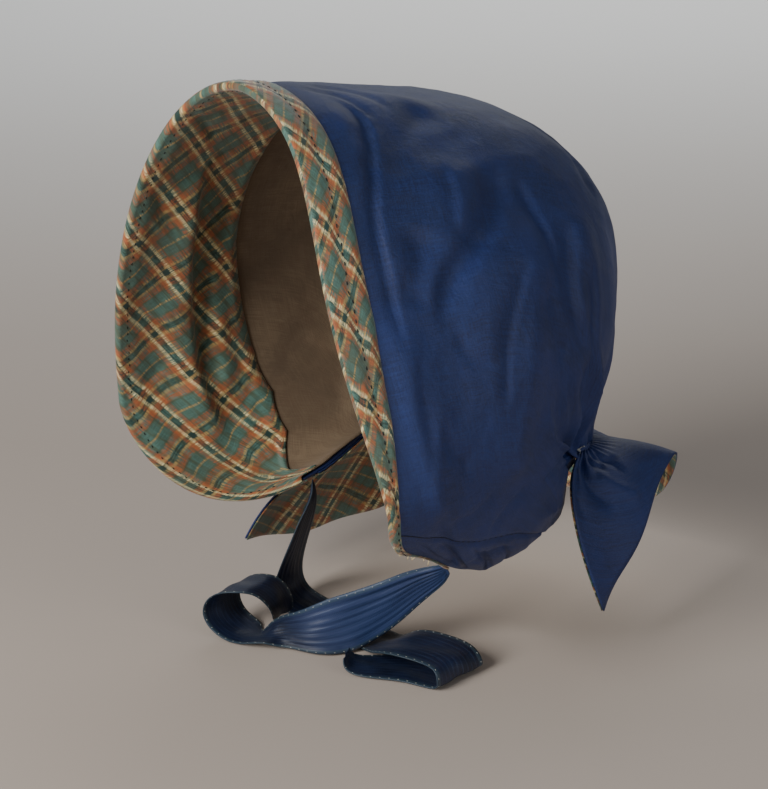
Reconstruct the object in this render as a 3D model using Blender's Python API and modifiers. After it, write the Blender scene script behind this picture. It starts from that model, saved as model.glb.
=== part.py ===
"""Quilted winter hood of blue silk with a plaid facing, a gathered neck curtain and two ribbon ties.

Units are metres. +Z is up, the face opening looks along -Y and the wearer's left is +X.
The origin is where the inside of the crown sits on the top of the head.
"""
import math
from typing import NamedTuple

import bmesh
import bpy
import numpy as np

SHELL = 0.0026
LINING = 0.0010
CURTAIN_SILK = 0.0011
CURTAIN_LINING = 0.0008
RIBBON = 0.0010
GAP = 0.0005
SEAM_GAP = 0.0012

# Share of the way from crown to hem that the upper arch takes; the flank takes the rest.
ARCH_SHARE = 0.62
CROWN_TO_HEM = 0.30
FRONT_TO_NAPE = 0.27

# Share of a flank's drop that goes straight down before it sweeps in to the hem.
FALL_SHARE = 0.4
# Brings the highest point of an arch's forward bow to 1.
BOW_SCALE = 4.19

# Every layer of the hood is divided alike, so that its layers lie evenly on each other.
COLUMNS = 44
TURNED_ROWS = 2
RIM_ROWS = 4
FACING_ROWS = 7
CROWN_ROWS = 11
NAPE_TURNING = 0.97

GATHER_COUNT = 11
GATHER_HEIGHT = 0.0014
GATHER_START = 0.55
GATHER_GROWTH = 1.5
GATHER_END = 0.57
GATHER_FADE = 0.12
FOLD_END_SHARE = 0.08

CURTAIN_COLUMNS = 42
CURTAIN_ROWS = 5
SEAM_DROP = 0.0010
RUFFLE_COUNT = 7
RUFFLE_HEIGHT = 0.0020
RUFFLE_GROWTH = 1.5

RIBBON_COLUMNS = 3
TIE_LEFT_ROWS = 40
TIE_RIGHT_ROWS = 50
PLEAT_COUNT = 3
PLEAT_HEIGHT = 0.0009
PLEATED_SHARE = 0.5

# Steps for reading a form's slopes and lengths, as shares of its run.
NORMAL_STEP = 0.002
EDGE_STEP = 0.01
DEPTH_STEPS = 61


class Arch(NamedTuple):
    """One hoop over the head, on the wearer's left; the right side mirrors it."""
    top_y: float
    top_z: float
    side_x: float
    side_y: float
    side_z: float
    roundness: float
    bow: float
    shoulder: float


class Flank(NamedTuple):
    """The lower end of a hoop: its hem, and the handle along which it sweeps in to that hem."""
    hem_x: float
    hem_y: float
    hem_z: float
    sweep_x: float
    sweep_y: float
    sweep_z: float


class Fold(NamedTuple):
    """A soft crease from one point of the surface to another; a negative height is a hollow."""
    from_u: float
    from_v: float
    to_u: float
    to_v: float
    height: float
    width: float


class Flare(NamedTuple):
    """One section of the curtain: how far along the neck seam it hangs, its bulge and its hem."""
    along: float
    bulge_x: float
    bulge_y: float
    bulge_z: float
    hem_x: float
    hem_y: float
    hem_z: float


class Station(NamedTuple):
    """One place along a ribbon: its middle, its width, and the way that width points in degrees."""
    x: float
    y: float
    z: float
    width: float
    heading: float
    tilt: float


class Width(NamedTuple):
    """How wide a band is at one share of the way from crown to hem."""
    share: float
    width: float


# Plaid facing inside the hood, shallower towards the chin corners.
FACING_DEPTHS = [
    Width(0.00, 0.082),
    Width(0.45, 0.082),
    Width(0.66, 0.090),
    Width(0.77, 0.087),
    Width(0.86, 0.069),
    Width(0.91, 0.045),
    Width(0.955, 0.022),
    Width(1.00, 0.012),
]

# Facing turned over to the outside, which runs out above the chin corners.
TURNED_WIDTHS = [
    Width(0.00, 0.024),
    Width(0.40, 0.023),
    Width(0.50, 0.016),
    Width(0.60, 0.004),
    Width(1.00, 0.002),
]

# Front edge first, nape last.
ARCHES = [
    Arch(-0.1195, 0.0275, 0.1300, -0.118, -0.1905, 1.65, 0.014, 0.008),
    Arch(-0.0700, 0.0175, 0.1265, -0.080, -0.1805, 1.85, 0.005, 0.004),
    Arch(-0.0120, 0.0065, 0.1200, -0.045, -0.1705, 2.05, 0.000, 0.000),
    Arch(0.0545, -0.0125, 0.1150, -0.008, -0.1705, 2.20, 0.000, 0.000),
    Arch(0.1110, -0.0570, 0.1060, 0.020, -0.1805, 2.20, 0.000, 0.000),
    Arch(0.1260, -0.1200, 0.0925, 0.040, -0.1925, 2.05, 0.000, 0.000),
    Arch(0.1190, -0.1805, 0.0790, 0.052, -0.2055, 1.90, 0.000, 0.000),
    Arch(0.1080, -0.2175, 0.0735, 0.067, -0.2090, 1.80, 0.000, 0.000),
]

LEFT_FLANKS = [
    Flank(0.065, -0.026, -0.2625, 0.0225, -0.048, 0.0365),
    Flank(0.072, -0.012, -0.2645, 0.0260, -0.024, 0.0160),
    Flank(0.079, 0.002, -0.2605, 0.0250, -0.012, 0.0100),
    Flank(0.084, 0.018, -0.2535, 0.0180, -0.005, 0.0100),
    Flank(0.086, 0.031, -0.2475, 0.0100, 0.000, 0.0100),
    Flank(0.084, 0.042, -0.2405, 0.0060, 0.000, 0.0100),
    Flank(0.0755, 0.054, -0.2295, 0.0040, 0.000, 0.0060),
    Flank(0.0715, 0.061, -0.2210, 0.0012, 0.003, 0.0040),
]

RIGHT_FLANKS = [
    Flank(-0.065, -0.029, -0.2475, -0.040, -0.062, -0.038),
    Flank(-0.068, -0.008, -0.2435, -0.035, -0.040, -0.020),
    Flank(-0.071, 0.010, -0.2375, -0.022, -0.012, 0.000),
    Flank(-0.073, 0.025, -0.2315, -0.018, 0.000, 0.010),
    Flank(-0.074, 0.038, -0.2265, -0.012, 0.000, 0.010),
    Flank(-0.075, 0.048, -0.2235, -0.008, 0.000, 0.008),
    Flank(-0.073, 0.054, -0.2205, -0.004, 0.000, 0.004),
    Flank(-0.0715, 0.059, -0.2195, -0.0012, 0.003, 0.004),
]

FOLDS = [
    Fold(0.16, 0.16, 0.62, 0.22, -0.0020, 0.0120),
    Fold(0.22, 0.44, 0.36, 0.30, -0.0024, 0.0140),
    Fold(0.30, 0.62, 0.62, 0.86, -0.0026, 0.0140),
    Fold(0.05, 0.72, 0.10, 0.98, -0.0022, 0.0130),
    Fold(-0.30, 0.60, -0.45, 0.90, -0.0024, 0.0140),
    Fold(-0.30, 0.22, -0.72, 0.26, -0.0028, 0.0140),
    Fold(-0.42, 0.06, -0.66, 0.14, -0.0020, 0.0120),
    Fold(0.66, 0.30, 0.90, 0.62, -0.0024, 0.0150),
]

# Wearer's right front corner first, round the back of the neck to the left end.
FLARES = [
    Flare(0.96, -0.088, -0.036, -0.2520, -0.100, -0.050, -0.2915),
    Flare(0.80, -0.096, 0.010, -0.2530, -0.107, 0.000, -0.3000),
    Flare(0.62, -0.100, 0.054, -0.2400, -0.108, 0.052, -0.3010),
    Flare(0.47, -0.097, 0.086, -0.2320, -0.103, 0.095, -0.2940),
    Flare(0.36, -0.064, 0.128, -0.2260, -0.070, 0.140, -0.2870),
    Flare(0.25, 0.000, 0.142, -0.2240, -0.004, 0.162, -0.2840),
    Flare(0.16, 0.050, 0.134, -0.2190, 0.062, 0.151, -0.2600),
    Flare(0.10, 0.075, 0.111, -0.2120, 0.090, 0.1315, -0.2235),
    Flare(0.05, 0.098, 0.078, -0.2150, 0.108, 0.0885, -0.2570),
    Flare(0.02, 0.110, 0.018, -0.2120, 0.120, 0.049, -0.2925),
]

TIE_LEFT = [
    Station(0.0638, -0.0240, -0.2650, 0.008, -76, 60),
    Station(0.0492, -0.0190, -0.2755, 0.016, -78, 66),
    Station(0.0387, -0.0274, -0.2840, 0.025, -84, 68),
    Station(0.0298, -0.0391, -0.2935, 0.033, -86, 70),
    Station(0.0175, -0.0498, -0.3035, 0.038, -95, 70),
    Station(0.0078, -0.0630, -0.3098, 0.036, -130, 70),
    Station(-0.0049, -0.0746, -0.3145, 0.027, -175, 64),
    Station(-0.0232, -0.0794, -0.3198, 0.021, -205, 38),
    Station(-0.0329, -0.0860, -0.3242, 0.026, -218, -6),
    Station(-0.0475, -0.0870, -0.3268, 0.032, -245, 0),
    Station(-0.0617, -0.0902, -0.3225, 0.035, -254, 0),
    Station(-0.0677, -0.0919, -0.3115, 0.036, -254, 0),
    Station(-0.0623, -0.0882, -0.3005, 0.036, -254, 0),
    Station(-0.0486, -0.0822, -0.2960, 0.033, -254, 0),
    Station(-0.0440, -0.0730, -0.3005, 0.028, -254, 0),
    Station(-0.0440, -0.0650, -0.3115, 0.023, -254, 0),
    Station(-0.0490, -0.0595, -0.3225, 0.020, -254, 0),
]

TIE_RIGHT = [
    Station(-0.0618, -0.0262, -0.2478, 0.006, -40, 0),
    Station(-0.0585, -0.0290, -0.2570, 0.014, -58, 0),
    Station(-0.0590, -0.0330, -0.2680, 0.024, -64, 0),
    Station(-0.0620, -0.0355, -0.2800, 0.029, -64, 0),
    Station(-0.0680, -0.0370, -0.2960, 0.031, -66, 0),
    Station(-0.0745, -0.0360, -0.3130, 0.032, -70, 0),
    Station(-0.0715, -0.0345, -0.3240, 0.032, -76, 0),
    Station(-0.0560, -0.0340, -0.3268, 0.032, -82, 0),
    Station(-0.0360, -0.0340, -0.3268, 0.033, -85, 0),
    Station(-0.0120, -0.0340, -0.3268, 0.032, -86, 0),
    Station(0.0080, -0.0330, -0.3266, 0.030, -86, 0),
    Station(0.0245, -0.0370, -0.3222, 0.033, -80, 0),
    Station(0.0433, -0.0394, -0.3140, 0.040, -72, 0),
    Station(0.0624, -0.0338, -0.3130, 0.041, -72, 0),
    Station(0.0782, -0.0318, -0.3140, 0.041, -74, 0),
    Station(0.0835, -0.0310, -0.3205, 0.041, -80, 0),
    Station(0.0780, -0.0310, -0.3266, 0.040, -78, 0),
    Station(0.0570, -0.0390, -0.3268, 0.040, -66, 0),
    Station(0.0410, -0.0520, -0.3268, 0.036, -62, 0),
    Station(0.0310, -0.0635, -0.3262, 0.027, -56, 0),
    Station(0.0262, -0.0680, -0.3235, 0.021, -52, 0),
    Station(0.0252, -0.0690, -0.3195, 0.017, -50, 0),
]


def smooth_rows(rows, place):
    """Read a table at any place from 0, its first row, to 1, its last, on a natural cubic."""
    values = np.asarray(rows, dtype=float)
    count = len(values)
    system = np.eye(count)
    bends = np.zeros_like(values)
    for row in range(1, count - 1):
        system[row, row - 1:row + 2] = 1, 4, 1
        bends[row] = 6 * (values[row - 1] - 2 * values[row] + values[row + 1])
    bends = np.linalg.solve(system, bends)
    position = np.clip(place, 0, 1) * (count - 1)
    below = np.minimum(position.astype(int), count - 2)
    part = (position - below)[..., None]
    rest = 1 - part
    return (rest * values[below] + part * values[below + 1]
            + (rest ** 3 - rest) / 6 * bends[below] + (part ** 3 - part) / 6 * bends[below + 1])


def hood_form(u, v):
    """The smooth outside of the hood: u runs from right hem -1 over the crown to left hem 1,
    v from the front edge 0 to the nape 1."""
    u = np.clip(u, -1, 1)
    arch = Arch(*np.moveaxis(smooth_rows(ARCHES, v), -1, 0))
    left = smooth_rows(LEFT_FLANKS, v)
    right = smooth_rows(RIGHT_FLANKS, v)
    flank = np.where((u >= 0)[..., None], left, right)
    side_sign = np.where(u >= 0, 1.0, -1.0)
    share = np.abs(u)

    angle = np.clip(share / ARCH_SHARE, 0, 1) * math.pi / 2
    rise = np.maximum(np.cos(angle), 0)
    spread = np.sin(angle)
    power = 2 / arch.roundness
    out = (arch.side_x * spread ** power
           + arch.shoulder * np.sin(4 * angle) * np.sqrt(rise))
    forward = arch.bow * BOW_SCALE * spread ** 3 * rise ** 1.5
    hoop = np.stack([
        side_sign * out,
        arch.side_y + (arch.top_y - arch.side_y) * rise ** power - forward,
        arch.side_z + (arch.top_z - arch.side_z) * rise ** power,
    ], -1)

    t = np.clip((share - ARCH_SHARE) / (1 - ARCH_SHARE), 0, 1)[..., None]
    side = np.stack([side_sign * arch.side_x, arch.side_y, arch.side_z], -1)
    hem = flank[..., :3]
    fall = np.zeros_like(side)
    fall[..., 2] = FALL_SHARE * (hem[..., 2] - arch.side_z)
    below_side = side + fall
    above_hem = hem + flank[..., 3:]
    lower = ((1 - t) ** 3 * side + 3 * (1 - t) ** 2 * t * below_side
             + 3 * (1 - t) * t ** 2 * above_hem + t ** 3 * hem)
    return np.where((share <= ARCH_SHARE)[..., None], hoop, lower)


def outward(form, u, v):
    """Unit normals of a form, by small steps along it."""
    across = form(u + NORMAL_STEP, v) - form(u - NORMAL_STEP, v)
    along = form(u, np.minimum(v + NORMAL_STEP, 1)) - form(u, np.maximum(v - NORMAL_STEP, 0))
    normal = np.cross(across, along)
    return normal / np.linalg.norm(normal, axis=-1, keepdims=True)


def fold_height(u, v):
    """How far folds and nape gathers move the surface along its normals."""
    swell = np.clip((v - GATHER_START) / (1 - GATHER_START), 0, 1) ** GATHER_GROWTH
    swell = swell * np.clip((GATHER_END - np.abs(u)) / GATHER_FADE, 0, 1)
    height = GATHER_HEIGHT * swell * np.cos(math.pi * GATHER_COUNT * u)
    for fold in FOLDS:
        start = np.array([fold.from_u * CROWN_TO_HEM, fold.from_v * FRONT_TO_NAPE])
        run = np.array([fold.to_u * CROWN_TO_HEM, fold.to_v * FRONT_TO_NAPE]) - start
        here = np.stack([u * CROWN_TO_HEM, v * FRONT_TO_NAPE], -1) - start
        share = np.clip(here @ run / (run @ run), 0, 1)
        away = np.linalg.norm(here - share[..., None] * run, axis=-1)
        fade = np.sin(math.pi * np.clip(share, FOLD_END_SHARE, 1 - FOLD_END_SHARE))
        height = height + fold.height * fade * np.exp(-(away / fold.width) ** 2)
    return height


def hood_layer(u, v, lift=0.0):
    """The hood's surface with its folds, moved out by lift or in by a negative one."""
    height = fold_height(u, v) + lift
    return hood_form(u, v) + height[..., None] * outward(hood_form, u, v)


def v_at_depth(u, depth):
    """The v that lies a given distance behind the front edge."""
    steps = np.linspace(0, 1, DEPTH_STEPS)
    result = np.zeros_like(depth)
    for value in np.unique(u):
        line = hood_form(np.full_like(steps, value), steps)
        length = np.concatenate([[0], np.cumsum(np.linalg.norm(np.diff(line, axis=0), axis=1))])
        here = u == value
        result[here] = np.interp(depth[here], length, steps)
    return result


def band_width(table, u):
    return np.interp(np.abs(u), [row.share for row in table], [row.width for row in table])


def v_of_row(u, row):
    """The v of a row of the hood: the facing's rows first, then those back to the nape."""
    seam = band_width(FACING_DEPTHS, u)
    front = v_at_depth(u, seam * np.clip(row / FACING_ROWS, 0, 1))
    back = np.clip((row - FACING_ROWS) / CROWN_ROWS, 0, 1)
    return front + (1 - front) * back


def outer_shell(u, b):
    return hood_layer(u, v_of_row(u, b * (FACING_ROWS + CROWN_ROWS)))


def crown_lining(u, b):
    """Plain lining from the facing's seam back to the nape."""
    first = v_at_depth(u, band_width(FACING_DEPTHS, u) + SEAM_GAP)
    v = np.clip(v_of_row(u, FACING_ROWS + CROWN_ROWS * b), first, NAPE_TURNING)
    return hood_layer(u, v, -(SHELL + GAP))


def brim_facing(u, b):
    """Plaid sheet from its turned edge outside, round the front edge, to its seam inside."""
    row = b * (TURNED_ROWS + RIM_ROWS + FACING_ROWS)
    outside = np.clip((TURNED_ROWS - row) / TURNED_ROWS, 0, 1)
    inside = np.clip((row - TURNED_ROWS - RIM_ROWS) / FACING_ROWS, 0, 1)
    turn = np.clip((row - TURNED_ROWS) / RIM_ROWS, 0, 1) * math.pi
    radius = SHELL / 2 + GAP + LINING / 2
    depth = outside * band_width(TURNED_WIDTHS, u) + inside * band_width(FACING_DEPTHS, u)
    v = v_at_depth(u, depth)
    lift = radius * np.cos(turn) - SHELL / 2
    edge_pull = hood_form(u, np.zeros_like(v)) - hood_form(u, np.full_like(v, EDGE_STEP))
    forward = edge_pull / np.linalg.norm(edge_pull, axis=-1, keepdims=True)
    return hood_layer(u, v, lift) + (radius * np.sin(turn))[..., None] * forward


def neck_seam(along):
    """The seam that carries the curtain: round the nape from the left, then the right hem."""
    on_nape = along < 0.5
    u = np.where(on_nape, ARCH_SHARE * (1 - 4 * along), -1.0)
    v = np.where(on_nape, 1.0, 1 - (along - 0.5) * 2)
    seam = hood_form(u, v)
    seam[..., 2] -= SEAM_DROP
    return seam


def curtain_form(a, b):
    """The outside of the curtain: a from the right front corner 0 to the left end 1, b down."""
    place = np.clip(a, 0, 1)
    flare = smooth_rows(FLARES, place)
    along = np.interp(place, np.linspace(0, 1, len(FLARES)), [row.along for row in FLARES])
    top = neck_seam(along)
    b = b[..., None]
    return (1 - b) ** 2 * top + 2 * (1 - b) * b * flare[..., 1:4] + b ** 2 * flare[..., 4:7]


def curtain_layer(u, b, lift=0.0):
    a = (u + 1) / 2
    ruffle = RUFFLE_HEIGHT * b ** RUFFLE_GROWTH * np.sin(2 * math.pi * RUFFLE_COUNT * a)
    return curtain_form(a, b) + (ruffle + lift)[..., None] * outward(curtain_form, a, b)


def curtain(u, b):
    return curtain_layer(u, b)


def curtain_lining(u, b):
    return curtain_layer(u, b, -(CURTAIN_SILK + GAP))


def ribbon(stations):
    """A sheet function for a ribbon that follows its stations, pleated where it is gathered."""
    def form(u, b):
        x, y, z, width, heading, tilt = np.moveaxis(smooth_rows(stations, b), -1, 0)
        heading, tilt = np.radians(heading), np.radians(tilt)
        across = np.stack([np.cos(heading) * np.cos(tilt),
                           np.sin(heading) * np.cos(tilt), np.sin(tilt)], -1)
        return np.stack([x, y, z], -1) + (u * width / 2)[..., None] * across

    def pleated(u, b):
        fade = np.clip(1 - b / PLEATED_SHARE, 0, 1)
        pleat = PLEAT_HEIGHT * fade * np.cos(math.pi * PLEAT_COUNT * u)
        return form(u, b) + pleat[..., None] * outward(form, u, b)

    return pleated


def cloth_material(name, colour, roughness):
    material = bpy.data.materials.new(name)
    material.use_nodes = True
    shader = material.node_tree.nodes["Principled BSDF"]
    shader.inputs["Base Color"].default_value = (*colour, 1.0)
    shader.inputs["Roughness"].default_value = roughness
    shader.inputs["Metallic"].default_value = 0.0
    return material


def cloth_sheet(collection, name, form, columns, rows, thickness, material, centred=False):
    """A grid bent to a form and given its thickness inwards, or to both sides if centred."""
    mesh = bpy.data.meshes.new(name)
    grid = bmesh.new()
    bmesh.ops.create_grid(grid, x_segments=columns, y_segments=rows, size=1.0)
    flat = np.array([vertex.co for vertex in grid.verts])
    places = form(flat[:, 0], (flat[:, 1] + 1) / 2)
    for vertex, place in zip(grid.verts, places):
        vertex.co = place
    grid.to_mesh(mesh)
    grid.free()
    mesh.shade_smooth()
    mesh.materials.append(material)
    piece = bpy.data.objects.new(name, mesh)
    collection.objects.link(piece)
    wall = piece.modifiers.new("cloth", "SOLIDIFY")
    wall.thickness = thickness
    wall.offset = 0.0 if centred else -1.0
    return piece


def main():
    for old in list(bpy.data.objects):
        bpy.data.objects.remove(old)
    hood = bpy.data.collections.new("quilted_hood")
    bpy.context.scene.collection.children.link(hood)

    silk = cloth_material("blue_silk", (0.020, 0.040, 0.130), 0.45)
    plaid = cloth_material("plaid_silk", (0.110, 0.150, 0.110), 0.60)
    brown = cloth_material("brown_lining", (0.120, 0.085, 0.060), 0.85)
    navy = cloth_material("navy_ribbon", (0.014, 0.028, 0.080), 0.40)

    shell_rows = FACING_ROWS + CROWN_ROWS
    wrap_rows = TURNED_ROWS + RIM_ROWS + FACING_ROWS
    cloth_sheet(hood, "outer_shell", outer_shell, COLUMNS, shell_rows, SHELL, silk)
    cloth_sheet(hood, "brim_facing", brim_facing, COLUMNS, wrap_rows, LINING, plaid, centred=True)
    cloth_sheet(hood, "crown_lining", crown_lining, COLUMNS, CROWN_ROWS, LINING, brown)
    cloth_sheet(hood, "curtain", curtain, CURTAIN_COLUMNS, CURTAIN_ROWS, CURTAIN_SILK, silk)
    cloth_sheet(hood, "curtain_lining", curtain_lining, CURTAIN_COLUMNS, CURTAIN_ROWS,
                CURTAIN_LINING, plaid)
    for name, stations, rows in (("tie_left", TIE_LEFT, TIE_LEFT_ROWS),
                                 ("tie_right", TIE_RIGHT, TIE_RIGHT_ROWS)):
        cloth_sheet(hood, name, ribbon(stations), RIBBON_COLUMNS, rows, RIBBON, navy, centred=True)


main()
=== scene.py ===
"""Looks of a quilted winter hood: blue silk, plaid facing, brown lining, neck curtain, two ribbon ties.

Metres, +Z up, the face opening looks along -Y, and the origin is inside the top of the crown.
"""
import math
from typing import NamedTuple

import bmesh
import bpy
import numpy as np
from mathutils import Matrix, Vector


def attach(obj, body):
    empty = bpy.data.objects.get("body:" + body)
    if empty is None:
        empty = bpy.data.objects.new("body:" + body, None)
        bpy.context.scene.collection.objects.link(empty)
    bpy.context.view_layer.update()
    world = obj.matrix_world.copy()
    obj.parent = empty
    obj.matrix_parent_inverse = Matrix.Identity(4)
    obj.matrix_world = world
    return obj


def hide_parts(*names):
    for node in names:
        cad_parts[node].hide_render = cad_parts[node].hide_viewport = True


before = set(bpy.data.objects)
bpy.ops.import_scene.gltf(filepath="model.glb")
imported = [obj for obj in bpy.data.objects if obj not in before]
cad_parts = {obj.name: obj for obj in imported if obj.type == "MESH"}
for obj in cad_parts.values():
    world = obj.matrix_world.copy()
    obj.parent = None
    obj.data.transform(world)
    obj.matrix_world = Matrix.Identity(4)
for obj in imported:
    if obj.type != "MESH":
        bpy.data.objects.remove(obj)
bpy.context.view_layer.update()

# Sizes that the solids share.
SHELL = 0.0026
LINING = 0.0010
CURTAIN_SILK = 0.0011
GAP = 0.0005
ARCH_SHARE = 0.62
CROWN_TO_HEM = 0.30
FRONT_TO_NAPE = 0.27
FALL_SHARE = 0.4
BOW_SCALE = 4.19
NAPE_TURNING = 0.97
GATHER_COUNT = 11
GATHER_HEIGHT = 0.0014
GATHER_START = 0.55
GATHER_GROWTH = 1.5
GATHER_END = 0.57
GATHER_FADE = 0.12
FOLD_END_SHARE = 0.08
RUFFLE_COUNT = 7
RUFFLE_HEIGHT = 0.0020
RUFFLE_GROWTH = 1.5
NORMAL_STEP = 0.002
EDGE_STEP = 0.01
DEPTH_STEPS = 61
HOOPS = 801
DEPTHS = 101
DEEPEST = 0.10

# Sizes of the finish alone.
CREASE_STEPS = 13
CREASE_FADE = 0.22
CREASE_DEPTH = 1.8
OVERLAP = 0.0030
SILK_COLUMNS, SILK_ROWS = 260, 180
FACING_COLUMNS = 340
TURNED_ROWS, RIM_ROWS, FACING_ROWS = 12, 10, 38
BRIM_ROWS = TURNED_ROWS + RIM_ROWS + FACING_ROWS
# The turned strip's cut ends these rows from its edge, a little way round the rim.
STRIP_ROWS = TURNED_ROWS + 3
LINING_COLUMNS, LINING_ROWS = 150, 90
CURTAIN_COLUMNS, CURTAIN_ROWS = 240, 36
RIBBON_COLUMNS, RIBBON_ROWS = 26, 300
FACING_THICKNESS = 0.0007
CURTAIN_THICKNESS = 0.0008
RIBBON_THICKNESS = 0.0006
RIBBON_WIDTH = 0.045
EDGE_ROUNDING = 0.0035
SILK_PUFF = 0.0008
SILK_FLOOR = 0.0023
STRIP_PUFF = 0.0011
STRIP_PULL_SPACING = 0.0062
STRIP_FELLED = 0.0009
FACING_FELLED = 0.0013
LINING_SLACK = 0.0010
PLEAT_HEIGHT = 0.0007
RIBBON_RIPPLE = 0.0005
SEAM_GATHERS = 46
SEAM_GATHER_HEIGHT = 0.0009
# The rim is about this many times as long as the hoop that CROWN_TO_HEM measures.
RIM_STRETCH = 1.35
# Metres along the curtain's seam, and down from it.
CURTAIN_SPAN = (0.50, 0.085)

# How the cloth simulations start, and how firmly their sheets are held.
SEED_PASSES = 5
SEED_HEIGHT = 0.0010
DRAPE_SEED = 5
TACK_RADIUS = 0.004
SILK_HOLD = 0.012
FACING_HOLD = 0.01
SILK_EXTRA, NAPE_EXTRA = 0.05, 0.12
FACING_EXTRA, CHIN_EXTRA = 0.05, 0.03

# Random swells: their seed, how many lie across and how many down, and their heights.
SILK_PULL_ROUND, SILK_PULL_BACK = (31, 12, 6), (32, 12, 6)
SILK_BROAD, SILK_RIDGES, SILK_FINE = (33, 20, 9), (34, 24, 9), (35, 70, 22)
SILK_BROAD_HEIGHT, SILK_RIDGE_HEIGHT, SILK_FINE_HEIGHT = 0.0014, 0.0026, 0.0008
FACING_PULL_ROUND, FACING_PULL_BACK = (41, 20, 5), (42, 20, 5)
FACING_BROAD, FACING_RIDGES = (43, 34, 5), (44, 60, 8)
FACING_BROAD_HEIGHT, FACING_RIDGE_HEIGHT = 0.0020, 0.0015
PLEAT_LEAN, PLEAT_DEPTH = (51, 6, 8), (52, 5, 9)

# The plaid: its repeat, how the turned strip is stretched, and the turn of its threads on the cut.
PLAID_REPEAT = 0.0325
BIAS_LONG = 0.92
BIAS_NARROW = 1.50
PLAID_TURN = math.radians(45)
THREAD_PITCH = 0.0005

STITCH_SEED = 11
THREAD_SEED = 23
LINE_STEPS = 900
RIBBON_STITCH_SPACING = 0.0056
RIBBON_STITCH_EDGE = 0.93
CASING_RADIUS = 0.0019
TUCK_RADIUS = 0.00026
LOOSE_THREAD_RADIUS = 0.00034

TARGET = Vector((0.0, -0.02, -0.1755))
CAMERA_TURN = math.radians(51)
CAMERA_RISE = math.radians(20)
CAMERA_DISTANCE = 1.8
FOCAL_SHARE = 3060 / 789
SENSOR = 36.0
FLOOR = -0.3284
FLOOR_HALF = 8.0
AIR_COLOUR = (0.80, 0.82, 0.85, 1.0)
AIR_STRENGTH = 0.20


class Arch(NamedTuple):
    """One hoop over the head, on the wearer's left; the right side mirrors it."""
    top_y: float
    top_z: float
    side_x: float
    side_y: float
    side_z: float
    roundness: float
    bow: float
    shoulder: float


class Flank(NamedTuple):
    """The lower end of a hoop: its hem, and the handle along which it sweeps in to that hem."""
    hem_x: float
    hem_y: float
    hem_z: float
    sweep_x: float
    sweep_y: float
    sweep_z: float


class Fold(NamedTuple):
    """A soft crease from one point of the surface to another; a negative height is a hollow."""
    from_u: float
    from_v: float
    to_u: float
    to_v: float
    height: float
    width: float


class Crease(NamedTuple):
    """A fold along several points. It falls away over two different widths, left and right of it."""
    height: float
    left: float
    right: float
    points: tuple


class Flare(NamedTuple):
    """One section of the curtain: how far along the neck seam it hangs, its bulge and its hem."""
    along: float
    bulge_x: float
    bulge_y: float
    bulge_z: float
    hem_x: float
    hem_y: float
    hem_z: float


class Station(NamedTuple):
    """One place along a ribbon: its middle, its width, and the way that width points in degrees."""
    x: float
    y: float
    z: float
    width: float
    heading: float
    tilt: float


class Width(NamedTuple):
    """How wide a band is at one share of the way from crown to hem."""
    share: float
    width: float


FACING_DEPTHS = [
    Width(0.00, 0.082), Width(0.45, 0.082), Width(0.66, 0.090), Width(0.77, 0.087),
    Width(0.86, 0.069), Width(0.91, 0.045), Width(0.955, 0.022), Width(1.00, 0.012),
]
TURNED_WIDTHS = [
    Width(0.00, 0.024), Width(0.40, 0.023), Width(0.50, 0.016), Width(0.60, 0.004), Width(1.00, 0.0015),
]

# Front edge first, nape last.
ARCHES = [
    Arch(-0.1195, 0.0275, 0.1300, -0.118, -0.1905, 1.65, 0.014, 0.008),
    Arch(-0.0700, 0.0175, 0.1265, -0.080, -0.1805, 1.85, 0.005, 0.004),
    Arch(-0.0120, 0.0065, 0.1200, -0.045, -0.1705, 2.05, 0.000, 0.000),
    Arch(0.0545, -0.0125, 0.1150, -0.008, -0.1705, 2.20, 0.000, 0.000),
    Arch(0.1110, -0.0570, 0.1060, 0.020, -0.1805, 2.20, 0.000, 0.000),
    Arch(0.1260, -0.1200, 0.0925, 0.040, -0.1925, 2.05, 0.000, 0.000),
    Arch(0.1190, -0.1805, 0.0790, 0.052, -0.2055, 1.90, 0.000, 0.000),
    Arch(0.1080, -0.2175, 0.0735, 0.067, -0.2090, 1.80, 0.000, 0.000),
]

LEFT_FLANKS = [
    Flank(0.065, -0.026, -0.2625, 0.0225, -0.048, 0.0365),
    Flank(0.072, -0.012, -0.2645, 0.0260, -0.024, 0.0160),
    Flank(0.079, 0.002, -0.2605, 0.0250, -0.012, 0.0100),
    Flank(0.084, 0.018, -0.2535, 0.0180, -0.005, 0.0100),
    Flank(0.086, 0.031, -0.2475, 0.0100, 0.000, 0.0100),
    Flank(0.084, 0.042, -0.2405, 0.0060, 0.000, 0.0100),
    Flank(0.0755, 0.054, -0.2295, 0.0040, 0.000, 0.0060),
    Flank(0.0715, 0.061, -0.2210, 0.0012, 0.003, 0.0040),
]

RIGHT_FLANKS = [
    Flank(-0.065, -0.029, -0.2475, -0.040, -0.062, -0.038),
    Flank(-0.068, -0.008, -0.2435, -0.035, -0.040, -0.020),
    Flank(-0.071, 0.010, -0.2375, -0.022, -0.012, 0.000),
    Flank(-0.073, 0.025, -0.2315, -0.018, 0.000, 0.010),
    Flank(-0.074, 0.038, -0.2265, -0.012, 0.000, 0.010),
    Flank(-0.075, 0.048, -0.2235, -0.008, 0.000, 0.008),
    Flank(-0.073, 0.054, -0.2205, -0.004, 0.000, 0.004),
    Flank(-0.0715, 0.059, -0.2195, -0.0012, 0.003, 0.004),
]

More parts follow.
